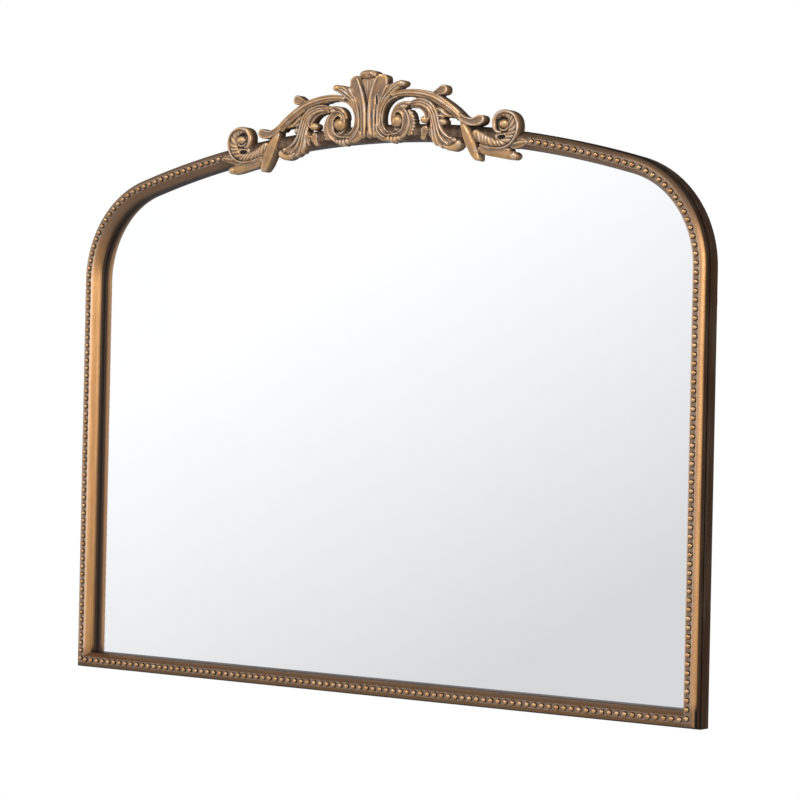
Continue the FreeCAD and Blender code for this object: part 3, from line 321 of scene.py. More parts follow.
@dataclass
class MouldingPaint(Finish):
    """Bronze paint on the rails: gold on the stiles, partly their paint and partly painted side light,
    browner on the crown and the foot, and a lip painted black as shade.

    A run holds the two places between which a tone comes in: none at the first, all of it at the second.

    Attributes:
        tones: The paint's colours.
        flat_run: How squarely a face looks to the front, for the flats beside the beads.
        wall_run: The same for the side walls.
        inner_run: How far a face turns away from the middle, for the faces that look in to the pane.
        stile_run: Distances from the middle, for the stiles.
        foot_run: Heights, for what stands over the bottom rail.
        gold_and_light_run: Heights, for the stiles' gold under the crown's brown; the gold is partly
            painted side light.
        crown_run: Heights, for the crown.
        crest_shadow_run: Distances from the middle, for the painted shadow of the crest on the rail behind
            it.
        ledge_shade_run: The ys of the ledge round the outer wall, painted black as shade.
        shoulder_wear_and_sheen_run: The ys where the slopes of the stiles are painted cream, partly worn
            paint and partly painted highlight.
        crown_shade_run: The ys of the painted shade on the crown's inner slope, darkest near the lip.
        rim_shade_run: The ys of the painted shade where the outer slope meets the outer wall.
        lip_shade_run: The ys where the lip darkens to black towards the pane, as painted shade of the gap.
        outer_shade_line: The ys of the painted shade line along the lower edge of the bottom rail's outer
            slope.
        inner_shade_line: The ys of the painted shade line on its inner slope, next to the lip.
    """

    tones: BronzeTones = BronzeTones()
    flat_run: Run = (0.90, 0.98)
    wall_run: Run = (0.20, 0.10)
    inner_run: Run = (0.02, -0.02)
    stile_run: Run = (0.336, 0.436)
    foot_run: Run = (-0.467, -0.453)
    gold_and_light_run: Run = (0.090, 0.030)
    crown_run: Run = (0.0, 0.1)
    crest_shadow_run: Run = (0.242, 0.202)
    ledge_shade_run: Run = (-0.030, -0.026)
    shoulder_wear_and_sheen_run: Run = (-0.0322, -0.0346)
    crown_shade_run: Run = (-0.032, -0.0185)
    rim_shade_run: Run = (-0.0311, -0.0295)
    lip_shade_run: Run = (-0.0185, -0.0155)
    outer_shade_line: Run = (-0.0328, -0.0312)
    inner_shade_line: Run = (-0.0275, -0.0245)

    def paint(self, sheet: NodeSheet) -> None:
        """Tells the faces of the rail apart by their slope, their depth and the rail they are on."""
        tones = self.tones
        x, y, z = sheet.parts(sheet.coordinates())
        across = sheet.math("ABSOLUTE", x)
        nx, ny, nz = sheet.parts(sheet.add("ShaderNodeNewGeometry").outputs["True Normal"])
        front = sheet.times(ny, -1.0)
        outward = sheet.math("ADD", sheet.times(nx, x), sheet.times(nz, z))
        flat = sheet.step(front, *self.flat_run)
        wall = sheet.step(front, *self.wall_run)
        inner = sheet.step(outward, *self.inner_run)
        outer = sheet.step(outward, *reversed(self.inner_run))
        crown = sheet.step(z, *self.crown_run)
        foot = sheet.step(z, *reversed(self.foot_run))
        upright = sheet.times(sheet.step(across, *self.stile_run), sheet.step(z, *self.foot_run))
        # Painted light: the stiles are painted gold, partly their paint and partly the side light that
        # falls on them.
        stile = sheet.times(upright, sheet.step(z, *self.gold_and_light_run))
        # Painted highlight: a cream strip along the top of the stiles' slopes, with worn paint in it.
        shoulder = sheet.times(stile, sheet.step(y, *self.shoulder_wear_and_sheen_run), sheet.scale(inner, 0.2, 0.6))
        # Painted shade: a black line along each slope of the bottom rail.
        shade_lines = sheet.mix(inner, sheet.step(y, *self.outer_shade_line), sheet.step(y, *self.inner_shade_line))
        cloud = sheet.noise(38.0)
        grain = sheet.noise(420.0, 3.0)
        streak = sheet.noise(150.0, 3.0, (1.0, 1.0, 0.10))
        worn = sheet.step(streak, 0.35, 0.75)
        gilt = sheet.mix(sheet.times(sheet.step(streak, 0.30, 0.72), 0.55), tones.gold, tones.bright)
        glaze = sheet.mix(sheet.scale(cloud, 0.15, 0.75), tones.brown, tones.gold)
        # Cream of worn paint, used also as painted highlight on the stiles' shoulders and flats.
        rub_and_sheen = sheet.mix(sheet.times(sheet.step(grain, 0.45, 0.65), 0.20), tones.cream, tones.bright)
        dusty = sheet.mix(sheet.times(sheet.step(grain, 0.38, 0.62), 0.75), tones.brown, tones.chalk)
        # Painted shade: the lip darkens from umber to black towards the pane.
        lip_shade = sheet.mix(sheet.step(y, *self.lip_shade_run), tones.umber, tones.painted_shade)
        # Painted shadow of the crest on the crown rail behind it.
        crest_shadow = sheet.times(sheet.step(across, *self.crest_shadow_run), crown, 0.85)
        colour = sheet.coats(
            glaze,
            (sheet.times(crown, 0.22), tones.chalk),
            # painted side light on the stiles, over their gold paint
            (stile, gilt),
            # painted highlight: cream on the stiles' shoulders and flats, partly worn paint; other flats
            # stay dusty
            (shoulder, rub_and_sheen),
            (flat, sheet.mix(stile, dusty, rub_and_sheen)),
            # painted shade on the crown's inner slope, towards the lip
            (sheet.times(inner, crown, sheet.step(y, *self.crown_shade_run), 0.7), tones.umber),
            # painted shade where the outer slope meets the outer wall
            (sheet.times(outer, sheet.step(y, *self.rim_shade_run), 0.85), tones.painted_shade),
            # painted shade line on the bottom rail
            (sheet.times(foot, shade_lines), tones.painted_shade),
            (wall, sheet.mix(worn, tones.russet, tones.brown)),
            # painted shadow of the crest
            (crest_shadow, sheet.mix(worn, tones.umber, tones.brown)),
            # painted shade on the lip
            (sheet.times(wall, inner), lip_shade),
            # painted shade: the ledge is black
            (sheet.times(flat, sheet.step(y, *self.ledge_shade_run)), tones.painted_shade),
        )
        self.shader(Base_Color=colour, Metallic=0.8, Roughness=sheet.scale(grain, 0.34, 0.52))
        self.relief(sheet.math("ADD", grain, streak), 0.00025, 0.5)


@dataclass
class BeadingPaint(Finish):
    """Bronze paint on the beading: bright tops, partly worn gilt and partly painted highlight, painted
    shade round each bead's foot, and a brown and chalky ribbon.

    Attributes:
        tones: The paint's colours.
        ribbon_y: The y of the ribbon that the beads stand on.
        start_rise: Height over the ribbon where a bead begins.
        foot_shade_rise: Height over the ribbon up to which a bead is painted black as shade.
        top_wear_and_sheen_rise: Height over the ribbon where a bead is painted bright, partly as worn gilt
            and partly as painted highlight.
    """

    tones: BronzeTones = BronzeTones()
    ribbon_y: float = -0.035
    start_rise: float = 0.0001
    foot_shade_rise: float = 0.0008
    top_wear_and_sheen_rise: float = 0.0030

    def paint(self, sheet: NodeSheet) -> None:
        """Grades the paint from the ribbon to the tops of the beads, from painted shade at their foot to a
        painted highlight on top.
        """
        tones = self.tones
        y = sheet.parts(sheet.coordinates())[1]
        rise = sheet.math("SUBTRACT", self.ribbon_y, y)
        wear = sheet.noise(90.0)
        grain = sheet.noise(500.0, 3.0)
        # Painted highlight on the bead tops, over worn gilt.
        top = sheet.mix(sheet.step(wear, 0.35, 0.65), tones.bright, tones.honey)
        # Painted shade: each bead is black at its foot, brightening to its top.
        ball = sheet.mix(sheet.step(rise, self.foot_shade_rise, self.top_wear_and_sheen_rise), tones.painted_shade, top)
        ribbon = sheet.mix(sheet.scale(grain, -0.15, 0.70), tones.brown, tones.chalk)
        colour = sheet.mix(sheet.step(rise, self.start_rise, 0.5 * self.foot_shade_rise), ribbon, ball)
        self.shader(Base_Color=colour, Metallic=0.85, Roughness=sheet.scale(grain, 0.28, 0.42))
        self.relief(grain, 0.0002, 0.4)


@dataclass
class CarvingPaint(Finish):
    """Bronze paint on the crest, laid by how far each point stands out of the carving round it.

    Attributes:
        tones: The paint's colours.
        depth_shade_run: The ys between which the walls are painted darker, as shade deep in the carving.
    """

    tones: BronzeTones = BronzeTones(
        umber=(0.090, 0.055, 0.035), brown=(0.265, 0.175, 0.120), gold=(0.520, 0.290, 0.132),
        bright=(0.800, 0.480, 0.220), chalk=(0.690, 0.550, 0.455),
    )
    depth_shade_run: Run = (-0.0375, -0.0275)

    def paint(self, sheet: NodeSheet) -> None:
        """Paints shade in the hollows, gold on the rounds, partly worn gilt and partly painted highlight,
        and chalk along some of the worn edges, partly as painted highlight.
        """
        tones = self.tones
        edge = sheet.attribute(WearAndShading.EDGE)
        y = sheet.parts(sheet.coordinates())[1]
        cloud = sheet.noise(60.0)
        patch = sheet.noise(110.0, 2.0)
        grain = sheet.noise(330.0, 3.0)
        spread = sheet.math("ADD", sheet.attribute(WearAndShading.SWELL), sheet.scale(cloud, -0.14, 0.14))
        scuffs = sheet.math("ADD", sheet.scale(grain, -0.15, 0.15), sheet.scale(patch, -0.75, 0.55))
        # Edges and scuffs, for chalk that is partly worn paint and partly painted highlight.
        rub_and_sheen = sheet.math("ADD", edge, scuffs)
        colour = sheet.coats(
            tones.brown,
            (sheet.times(sheet.step(cloud, 0.36, 0.66), 0.6), tones.gold),
            # painted shade: umber and then black in the hollows, by how far they sink
            (sheet.step(spread, 0.40, 0.14), tones.umber),
            (sheet.step(spread, 0.20, 0.03), tones.painted_shade),
            # worn gilt on the rounds and edges, brightened as painted highlight
            (sheet.step(spread, 0.50, 0.74), tones.gold),
            (sheet.step(spread, 0.66, 0.92), tones.bright),
            (sheet.times(sheet.step(edge, 0.60, 0.92), 0.85), tones.bright),
            # chalk on the edges, partly painted highlight
            (sheet.times(sheet.step(rub_and_sheen, 0.60, 0.95), 0.8), tones.chalk),
            # painted shade: the carving darkens towards its back
            (sheet.times(sheet.step(y, *self.depth_shade_run), 0.75), tones.umber),
            # painted shade: the slots are black
            (sheet.step(sheet.attribute(WearAndShading.SLOT), 0.05, 0.45), tones.painted_shade),
        )
        self.shader(Base_Color=colour, Metallic=0.6, Roughness=sheet.scale(grain, 0.28, 0.48))
        self.relief(grain, 0.0002, 0.4)


@dataclass
class Silvering(Finish):
    """The silvered pane: clear, with the faintest cloud in its polish."""

    silver: Colour = (0.945, 0.955, 0.975)
    veil: Colour = (0.925, 0.935, 0.960)

    def paint(self, sheet: NodeSheet) -> None:
        """Varies the polish and the tint a little."""
        cloud = sheet.noise(7.0, 3.0)
        self.shader(Base_Color=sheet.mix(cloud, self.silver, self.veil), Metallic=1.0)
        self.shader(Roughness=sheet.scale(cloud, 0.006, 0.016))


@dataclass
class BoardFinish(Finish):
    """Pressed brown hardboard on the back."""

    pale: Colour = (0.520, 0.345, 0.200)
    dark: Colour = (0.330, 0.205, 0.112)

    def paint(self, sheet: NodeSheet) -> None:
        """Mixes pressed fibres and a slow stain."""
        fibre = sheet.noise(700.0, 6.0, (1.0, 1.0, 0.35))
        stain = sheet.noise(9.0, 3.0)
        share = sheet.math("ADD", sheet.scale(fibre, -0.2, 0.9), sheet.scale(stain, -0.2, 0.2))
        self.shader(Base_Color=sheet.mix(share, self.pale, self.dark))
        self.shader(Roughness=sheet.scale(fibre, 0.60, 0.85))
        self.relief(fibre, 0.0002, 0.5)


@dataclass
class WoodFinish(Finish):
    """Plain joint timber for the splines and dowels."""

    early: Colour = (0.560, 0.370, 0.210)
    late: Colour = (0.370, 0.215, 0.110)

    def paint(self, sheet: NodeSheet) -> None:
        """Lays long grain."""
        grain = sheet.noise(260.0, 5.0, (1.0, 1.0, 0.08))
        self.shader(Base_Color=sheet.mix(grain, self.early, self.late))
        self.shader(Roughness=sheet.scale(grain, 0.5, 0.7))
        self.relief(grain, 0.0002, 0.5)


@dataclass
class FoamFinish(Finish):
    """White packing foam behind the pane."""

    light: Colour = (0.780, 0.780, 0.760)
    shade: Colour = (0.640, 0.640, 0.620)

    def paint(self, sheet: NodeSheet) -> None:
        """Shows the cells of the foam."""
        share = sheet.cells(900.0)
        self.shader(Base_Color=sheet.mix(share, self.light, self.shade))
        self.shader(Roughness=sheet.scale(share, 0.7, 0.9))


@dataclass
class RubberFinish(Finish):
    """Black rubber of the wall pads and setting blocks."""

    black: Colour = (0.020, 0.020, 0.021)
    bloom: Colour = (0.055, 0.054, 0.052)

    def paint(self, sheet: NodeSheet) -> None:
        """Adds the grey bloom of old rubber."""
        bloom = sheet.noise(240.0, 5.0)
        self.shader(Base_Color=sheet.mix(sheet.step(bloom, 0.4, 0.7), self.black, self.bloom))
        self.shader(Roughness=sheet.scale(bloom, 0.55, 0.80))
        self.relief(bloom, 0.0001, 0.4)


@dataclass
class ZincFinish(Finish):
    """Zinc-plated steel of the hangers, screws and pins."""

    light: Colour = (0.620, 0.630, 0.640)
    dull: Colour = (0.420, 0.425, 0.430)

    def paint(self, sheet: NodeSheet) -> None:
        """Shows the spangle of the plating and fine handling marks."""
        marks = sheet.noise(900.0, 4.0, (1.0, 1.0, 0.2))
        self.shader(Base_Color=sheet.mix(sheet.cells(520.0), self.light, self.dull), Metallic=1.0)
        self.shader(Roughness=sheet.scale(marks, 0.24, 0.46))
        self.relief(marks, 0.00008, 0.4)


@dataclass
class ArchLine:
    """The crown of the frame and the front of its rail, which the crest is carved to sit on.

    Attributes:
        corner_radius: Radius of the shoulders' outer edge.
        rail_back: Distance from the wall to the back of the rail.
        rail_front: Rail profile as (distance in from the outer edge, distance out from the rail's back).
    """

    corner_radius: float = 0.131
    rail_back: float = 0.006
    rail_front: tuple[Point, ...] = (
        (0.0, 0.0165), (0.001, 0.0165), (0.0011, 0.0230),
        (0.0065, 0.0290), (0.0145, 0.0290), (0.0204, 0.0125),
    )
    apex: float = field(init=False)
    radius: float = field(init=False)

    def __post_init__(self) -> None:
        """Takes the arch's width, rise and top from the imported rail."""
        low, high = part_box("frame_right_arch")
        rise = high[2] - low[2]
        reach = high[0] - self.corner_radius
        self.apex = high[2]
        self.radius = (reach**2 + rise**2 - self.corner_radius**2) / (2 * (rise - self.corner_radius))

    def inset(self, x: np.ndarray, z: np.ndarray) -> np.ndarray:
        """Gives how far points lie in from the crown's outer edge."""
        return self.radius - np.hypot(x, z - (self.apex - self.radius))

    def front(self, x: np.ndarray, z: np.ndarray) -> np.ndarray:
        """Gives how far the rail's front stands out from its back at points, and 0 off the rail."""
        places, heights = zip(*self.rail_front)
        return np.interp(self.inset(x, z), places, heights, left=0.0, right=0.0)


@dataclass(frozen=True)
class Stroke:
    """A carved member, drawn along its middle in millimetres from the crest's middle and eye line.

    Attributes:
        path: Points that the member's middle runs through.
        widths: Width at each point, or at both ends.
        fronts: Height of the front over the crest's back at each point, or at both ends.
        section: Shape across the width.
        relief: How far the section's edges fall behind its front.
        ribs: Ribs across a ribbed member, or flutes along each 10 mm of a roped one.
        blunt: Length of the rounded ends as a share of half the width.
    """

    path: tuple[Point, ...]
    widths: tuple[float, ...]
    fronts: tuple[float, ...]
    section: Section = Section.ROUND
    relief: float = 4.0
    ribs: float = 3.0
    blunt: float = 1.0


@dataclass(frozen=True)
class Knob:
    """A carved ball, in millimetres from the crest's middle and eye line.

    Attributes:
        centre: Middle of the ball.
        radius: Half its width and its height.
        front: Height of its top over the crest's back.
        stretch: Its width and height as shares of the radius.
        dome: How far its rim falls behind its top, as a share of the radius.
    """

    centre: Point
    radius: float
    front: float
    stretch: Point = (1.0, 1.0)
    dome: float = 0.8


@dataclass(frozen=True)
class Dent:
    """A slot pressed into a casting, in millimetres from the crest's middle and eye line.

    Attributes:
        centre: Middle of the slot.
        reach: Half its width and half its height.
        depth: How far its middle is pressed in.
    """

    centre: Point
    reach: Point
    depth: float


@dataclass
class Crest:
    """The carved crest: a palmette between two sprays of scroll, acanthus, volute and foot.

    Attributes:
        arch: The crown that the crest sits on.
        eye_line_drop: How far the eyes of the end volutes lie below the crown's top.
        back: Distance from the rail's back to the back of the crest.
        seat_gap: Room kept between the carving and the rail.
        voxel: Size of the grain that the carving is fused at.
        along_step: Spacing of a member's points along its path, in millimetres.
        across_step: Their spacing across it, in millimetres.
        least_steps: Fewest steps either way.
        heading_step: How far ahead and behind a member's heading is read, in millimetres.
        least_end: Place on a rounded end, as a share of its length, where the rounding starts.
        swell_rounds: Rounds of easing that tell a swelling from a hollow.
        swell_reach: Distance that counts as all the way out of a hollow.
        edge_rounds: Rounds of easing that tell a sharp edge.
        edge_reach: Distance that counts as a sharp edge.
        lobe_slot: Slot in the palmette's right lobe.
        volute_slot: Slot below the eye of each volute.
    """

    arch: ArchLine
    eye_line_drop: float = 0.0092
    back: float = 0.0185
    seat_gap: float = 0.0003
    voxel: float = 0.00065
    along_step: float = 1.0
    across_step: float = 0.5
    least_steps: int = 12
    heading_step: float = 0.2
    least_end: float = 0.02
    swell_rounds: int = 40
    swell_reach: float = 0.0011
    edge_rounds: int = 5
    edge_reach: float = 0.00022
    lobe_slot: Dent = Dent((12.9, 37.0), (1.6, 6.0), 2.4)
    volute_slot: Dent = Dent((190.8, -15.3), (6.2, 2.6), 3.0)

    def palmette(self) -> list[Stroke | Knob]:
        """Draws the right half of the palmette."""
        neck = [((9.6, -6), (9.0, 8), (9.2, 22), (11, 34), (14.5, 45)),
                ((14, 0), (13.6, 12), (14.4, 25), (18, 37), (23, 47))]
        return [
            Stroke(((0, -8), (0, 20), (0, 46)), (6, 5, 6), (8.5, 8.5, 10), Section.ROUND, 1.5),
            Stroke(((0, 34), (0, 50), (0, 66)), (5, 16, 29), (12.4, 14.8, 15.2), Section.RIBBED, 2.0, 5.0),
            Stroke(((10, -7), (10, 8), (11, 24), (14.5, 40), (17.8, 54), (19.4, 67.6)),
                   (13, 14, 15, 19, 19, 15.5), (13.5, 14.5, 15, 15.5, 16, 15.8), Section.HOLLOW, 3.4,
                   blunt=0.6),
            Stroke(((4.6, -5), (3.5, 6), (3.4, 20), (4.8, 36), (8, 49), (11.6, 58), (15.4, 65.5)),
                   (3.2, 4.0, 4.2, 4.2, 4.0, 3.8, 3.0), (15, 16.6, 17.2, 17.8, 18, 18, 17.2), Section.ROUND,
                   3.0),
            *[Stroke(line, (1.6, 2.0, 1.4), (13.8, 14.9, 14.2), Section.ROUND, 1.5) for line in neck],
            Stroke(((14, 14), (17, 28), (23, 39), (32, 47), (40, 52), (48, 54.6)), (5, 9, 12, 13, 11, 8.5),
                   (12.5, 13.2, 14.2, 15, 15.5, 15), Section.RIBBED, 4.0, 3.0),
            Stroke(((26, 42), (32, 50), (36.5, 55)), (7, 9, 7), (13.8, 14.6, 14.4), Section.RIBBED, 3.5,
                   2.0),
            Stroke(((20, 40), (25, 48), (29.5, 55)), (8, 10, 8), (14.5, 15.6, 15.2), Section.RIBBED, 3.5,
                   2.0),
            Knob((47.6, 54.8), 4.6, 15.9, (1.15, 0.85)),
            Knob((0, 68.2), 12.2, 17.0, (1.0, 0.42), 0.22),
            Stroke(((0.6, 69.4), (6, 68.8), (11.8, 65.2)), (6, 7, 4.5), (18, 18.2, 16.8), Section.ROOF,
                   2.4),
            Stroke(((0, -7), (0, 0), (0, 9)), (13, 9, 2), (12.5, 12.5, 11), Section.ROOF, 3.0),
        ]

    def scroll(self) -> list[Stroke | Knob]:
        """Draws the right C-scroll with its ball, collar, clasp and side leaf."""
        teeth = [(60.3 + 6.0 * math.sin(math.radians(20 + 22 * i)), 19 - 4.0 * i) for i in range(7)]
        clasp = (((30.6, -9.6), 2.9, (0.85, 1.15)), ((35.6, -10.8), 3.2, (0.8, 1.35)),
                 ((40.6, -10.6), 2.7, (0.85, 1.4)), ((45.2, -9.4), 2.6, (1.0, 1.0)))
        return [
            Stroke(((44, 41), (34, 39.6), (24.6, 34), (18.8, 24), (17.6, 12), (20.6, 3), (27, -2.6),
                    (36, -3.2)), (5, 7, 8, 7.5, 7, 7, 6, 3),
                   (14.5, 14.2, 13.4, 12.8, 12.8, 13.2, 13.4, 13.2), Section.CHANNEL, 2.6),
            Stroke(((11, 2), (14, -3), (20, -8), (28, -10)), (8, 8, 6, 4), (12.6, 12.8, 12.6, 12.2),
                   Section.ROUND, 2.5),
            Stroke(((12.6, 9), (14.6, 2), (19, -4), (26, -8.5)), (2.0, 2.4, 2.4, 2.0),
                   (14.6, 15.2, 15.2, 14.6), Section.ROUND, 2.4),
            Stroke(((34.6, 16), (37.4, 24.6), (43, 29), (50, 30.8), (58, 31.4), (64, 33)),
                   (4, 5, 6, 6, 5, 3), (11, 12.2, 12.4, 12, 11, 9.5), Section.ROUND, 2.0),
            Stroke(((27, -6), (36, -7), (46, -6), (53.4, -1), (56.2, 8), (55, 16.8), (49.8, 22.6), (43, 24),
                    (38.2, 20.4), (36.2, 13.8), (37.2, 7.6), (41.8, 4.2)),
                   (5, 7, 9, 10.5, 10.5, 9.5, 8, 6.5, 5.5, 4.5, 4, 3),
                   (12.5, 13, 13.4, 14, 14.6, 14.8, 14.8, 14.8, 14.6, 14.4, 13.8, 13.2), Section.CHANNEL,
                   1.7),
            Knob((46, 9.4), 11.4, 10.0, dome=0.1),
            Knob((42.4, 10.8), 8.2, 16.6, (1.05, 0.95)),
            Stroke(((57.6, 24), (61.6, 17), (62.8, 8), (61.6, -1), (57.6, -7)), (3, 6, 7.5, 7.5, 5),
                   (12.4, 12.8, 12.8, 12.6, 12), Section.RIBBED, 2.4, 2.0),
            *[Knob(tooth, 1.7, 12.2) for tooth in teeth],
            Knob((52, 27.4), 3.8, 15.6, (1.25, 0.75)),
            *[Knob(place, size, 14.8, stretch) for place, size, stretch in clasp],
        ]

    def stem(self) -> list[Stroke | Knob]:
        """Draws the right stem with its bud, hook and spear leaf."""
        return [
            Stroke(((34, 41), (48, 43.2), (62, 43), (80, 40.5), (95, 36), (110, 28), (125, 18), (137, 8)),
                   (5, 7.5, 8.5, 9, 9.5, 9.5, 9, 8), (15, 15.4, 15.4, 15.6, 15.6, 15.8, 16, 16),
                   Section.RIBBED, 3.0, 2.0),
            Stroke(((60, 38.8), (80, 36.2), (94, 31.4), (108, 23.6), (122, 14.0), (131, 6.5)),
                   (1.2, 2.4, 1.8), (12.6, 13.8, 13.8), Section.ROUND, 2.0),
            Stroke(((89, 38), (98, 40.8), (105.4, 43.2), (113, 45.6)), (4, 6, 10.8, 13.6),
                   (14, 14, 14, 13.8), Section.CHANNEL, 1.3, blunt=1.05),
            Stroke(((131, 13), (141, 6.5), (151, 4), (159, 5.4), (166, 9)), (7, 8, 9.5, 11.5, 11.5),
                   (16, 16, 15.6, 15.2, 14.8), Section.CHANNEL, 1.1, blunt=1.1),
            Stroke(((134.4, 8), (138.6, 0), (144, -10), (149.5, -21), (154.4, -31.4), (159.4, -41)),
                   (4, 8.4, 12, 12.6, 11, 6.5), (14.4, 16.2, 17.4, 17.6, 17.2, 16.2), Section.ROUND, 2.8,
                   blunt=1.6),
        ]

    def acanthus(self) -> list[Stroke | Knob]:
        """Draws the right acanthus: a sweep of ribs that fans out below and curls."""
        ribs = [
            ((62, 34.2), (74, 35), (84, 32.5), (92, 28), (98, 21), (101.4, 12), (103.8, 3), (108.4, -5),
             (115.4, -11), (123, -14)),
            ((61, 31.8), (73, 32), (82, 29.8), (89.5, 25.4), (94.8, 18.5), (98, 10), (100.6, 1), (104, -8),
             (109.6, -15.6), (117, -20.6)),
            ((60.5, 29.4), (72, 29.4), (80, 27.2), (87, 23), (91.6, 16.5), (94.8, 8.5), (97.4, 0), (99, -9),
             (102.6, -18), (108.6, -24.4)),
            ((89, 17), (92, 8), (94, -3), (95.4, -12), (99.6, -21)),
        ]
        return [
            Stroke(((62, 32), (78, 31), (89, 25.5), (95.5, 15), (98.5, 3)), (3, 8, 11, 11, 11),
                   (9.5, 11.4, 12.4, 13, 13), Section.ROUND, 2.5),
            Stroke(((99, 3), (102, -8), (108, -15), (117, -18), (126, -18)), (9, 15, 17, 15, 9),
                   (12.6, 12.9, 12.9, 12.9, 12.9), Section.ROUND, 1.6),
            Stroke(((109, -20.5), (116, -23.6), (124, -24), (130.4, -20.6), (132, -15.4)),
                   (3, 6.5, 8.5, 8.5, 6.5), (13.4, 14.4, 15, 15.2, 14.4), Section.ROUND, 3.0),
            *[Stroke(line, (1.2, 3.4, 3.6, 3.4, 4.2, 2.4), (10.5, 13.4, 14.6, 14.4, 14.6, 13.6),
                     Section.ROUND, 2.4) for line in ribs],
            Knob((125.4, -15.6), 2.8, 14.6),
            Stroke(((60, 27), (70, 26.8), (78, 24.3), (84, 19.5), (86.8, 14), (85, 9)),
                   (3, 4, 5.5, 7, 7.5, 6), (12, 12.6, 13.4, 14, 14.5, 14.5), Section.CHANNEL, 2.6),
            Knob((81.8, 10.4), 5.0, 15.0, (1.15, 0.9)),
            Stroke(((96, 24), (104, 20.5), (112, 14.8), (119, 12.6), (127, 11)), (5, 7, 6, 4, 2.5),
                   (12.5, 13.2, 13.2, 12.8, 12.5), Section.RIBBED, 3.0, 2.0),
            Stroke(((99, 15), (104.5, 13.6), (110.5, 11.6)), (5, 6.5, 4.5), (13.2, 13.8, 13),
                   Section.RIBBED, 3.0, 2.0),
            Stroke(((100, 7), (106, 6.8), (112, 4.8)), (5, 8, 7), (13.5, 14.2, 13.6), Section.ROUND, 3.0),
            Stroke(((96, 7), (92, -1), (90.5, -12)), (6, 9, 2.5), (13.4, 13.6, 12.2), Section.ROOF, 3.2),
            Stroke(((93, 0), (88, -1.5), (84.4, -2.5)), (6, 4.5, 2), (12.8, 12.8, 12), Section.ROOF, 2.5),
            Stroke(((83, 3.5), (81.6, -4), (78, -13)), (6, 9, 3), (11.1, 11.5, 11.1), Section.ROOF, 0.8),
            Stroke(((81, 3), (77.4, -1), (78.8, -6), (75.5, -11)), (1.4, 1.8, 1.8, 1.2),
                   (11.2, 11.8, 11.8, 11.2), Section.ROUND, 1.2),
        ]

    def volute(self) -> list[Stroke | Knob]:
        """Draws the right end volute with its fluted tail, the foot and the outer leaf."""
        eye: Point = (194.4, -0.4)
        return [
            Knob(eye, 10.6, 10.6, dome=0.1),
            Knob(eye, 5.4, 16.0, (1.25, 0.9)),
            Stroke(((187, -4), (190.6, -7.2), (197, -7.2), (201, -3)), (1.6, 2.4, 2.4, 1.6),
                   (13.0, 13.6, 13.6, 13.0), Section.ROUND, 2.0),
            Stroke(((151, -7), (160, -13.5), (170, -18.5), (181, -21.6), (193, -21.4), (202.6, -15),
                    (206.8, -4), (204.4, 6), (197, 11), (189, 10.6), (183.6, 6)),
                   (9, 12, 11.5, 10, 10, 12, 12.5, 11, 8.5, 6.5, 4),
                   (15, 14.5, 14.2, 14.2, 14.4, 14.8, 15, 14.8, 14.6, 14.2, 13.2), Section.ROPE, 3.0, 1.8),
            Stroke(((160, -22.5), (172, -26), (184, -28), (196, -27.2), (206, -21.6), (212, -12),
                    (213.2, -1.4), (209.4, 7.6), (201, 12.6), (192, 13.4), (184.2, 10), (180.6, 3.6),
                    (180.8, -3.4), (184, -8.6), (190, -9.8)),
                   (2.4, 2.6, 2.8, 2.8, 2.8, 2.8, 3.0, 3.4, 4.2, 5.0, 5.6, 5.6, 5.2, 4.2, 2.6),
                   (14, 14.4, 14.8, 15.2, 15.6, 15.8, 16, 16, 16, 15.8, 15.6, 15.4, 15, 14.4, 13.4),
                   Section.ROUND, 3.0),
            Stroke(((158, -27), (170, -31), (184, -33.4), (198, -35.8), (211, -38)), (7, 8.5, 9.5, 10.5, 9),
                   (13.8, 14, 14.2, 14.5, 14.5), Section.ROUND, 2.6, blunt=0.7),
            Stroke(((160, -25.6), (175, -28.6), (190, -29.8), (203, -30.8)), (3, 4, 4.5, 4),
                   (13.8, 14.2, 14.2, 13.8), Section.ROUND, 2.5),
            Stroke(((181, -13.4), (190.6, -15.0), (200, -12.4)), (6, 7.5, 6), (12.4, 12.8, 12.4),
                   Section.ROUND, 1.0),
            Knob((207.6, -37.6), 5.0, 15.6, (1.0, 0.8), 0.5),
            Stroke(((201, -25.5), (210, -23.5), (218, -22.3), (226.5, -22.6)), (9, 11, 9, 2.5),
                   (13.4, 13.4, 13, 12.4), Section.ROOF, 2.6),
        ]

    @staticmethod
    def profile(section: Section, across: np.ndarray, along: np.ndarray, ribs: float) -> np.ndarray:
        """Gives the height of a section from 0 at its lowest to 1 at its highest.

        Args:
            section: The section's kind.
            across: Places from -1 on the right of the path to 1 on the left.
            along: Distance along the path in millimetres.
            ribs: Ribs across, or flutes to each 10 mm.

        Returns:
            Heights, one for each place.
        """
        rim = 0.74
        edge = np.abs(across)
        dome = np.sqrt(np.clip(1 - across**2, 0, 1))
        shoulder = np.sqrt(np.clip(1 - ((edge - rim) / (1 - rim)) ** 2, 0, 1))
        if section is Section.ROOF:
            return np.clip(1 - edge, 0, 1) ** 0.9
        if section is Section.CHANNEL:
            return np.where(edge > rim, shoulder, 0.25 + 0.75 * (edge / rim) ** 2.2)
        if section is Section.HOLLOW:
            rise = np.clip((across + 1) / (1 + rim), 0, 1)
            return np.where(across > rim, shoulder, 0.30 + 0.70 * rise**2.6)
        if section is Section.RIBBED:
            return dome * (0.66 + 0.34 * np.abs(np.cos(0.5 * math.pi * ribs * across)))
        if section is Section.ROPE:
            slant = 0.1 * ribs * (along + 1.1 * np.sin(0.31 * along)) + 0.75 * across
            return dome * (0.60 + 0.40 * np.abs(np.cos(math.pi * slant)))
        return dome

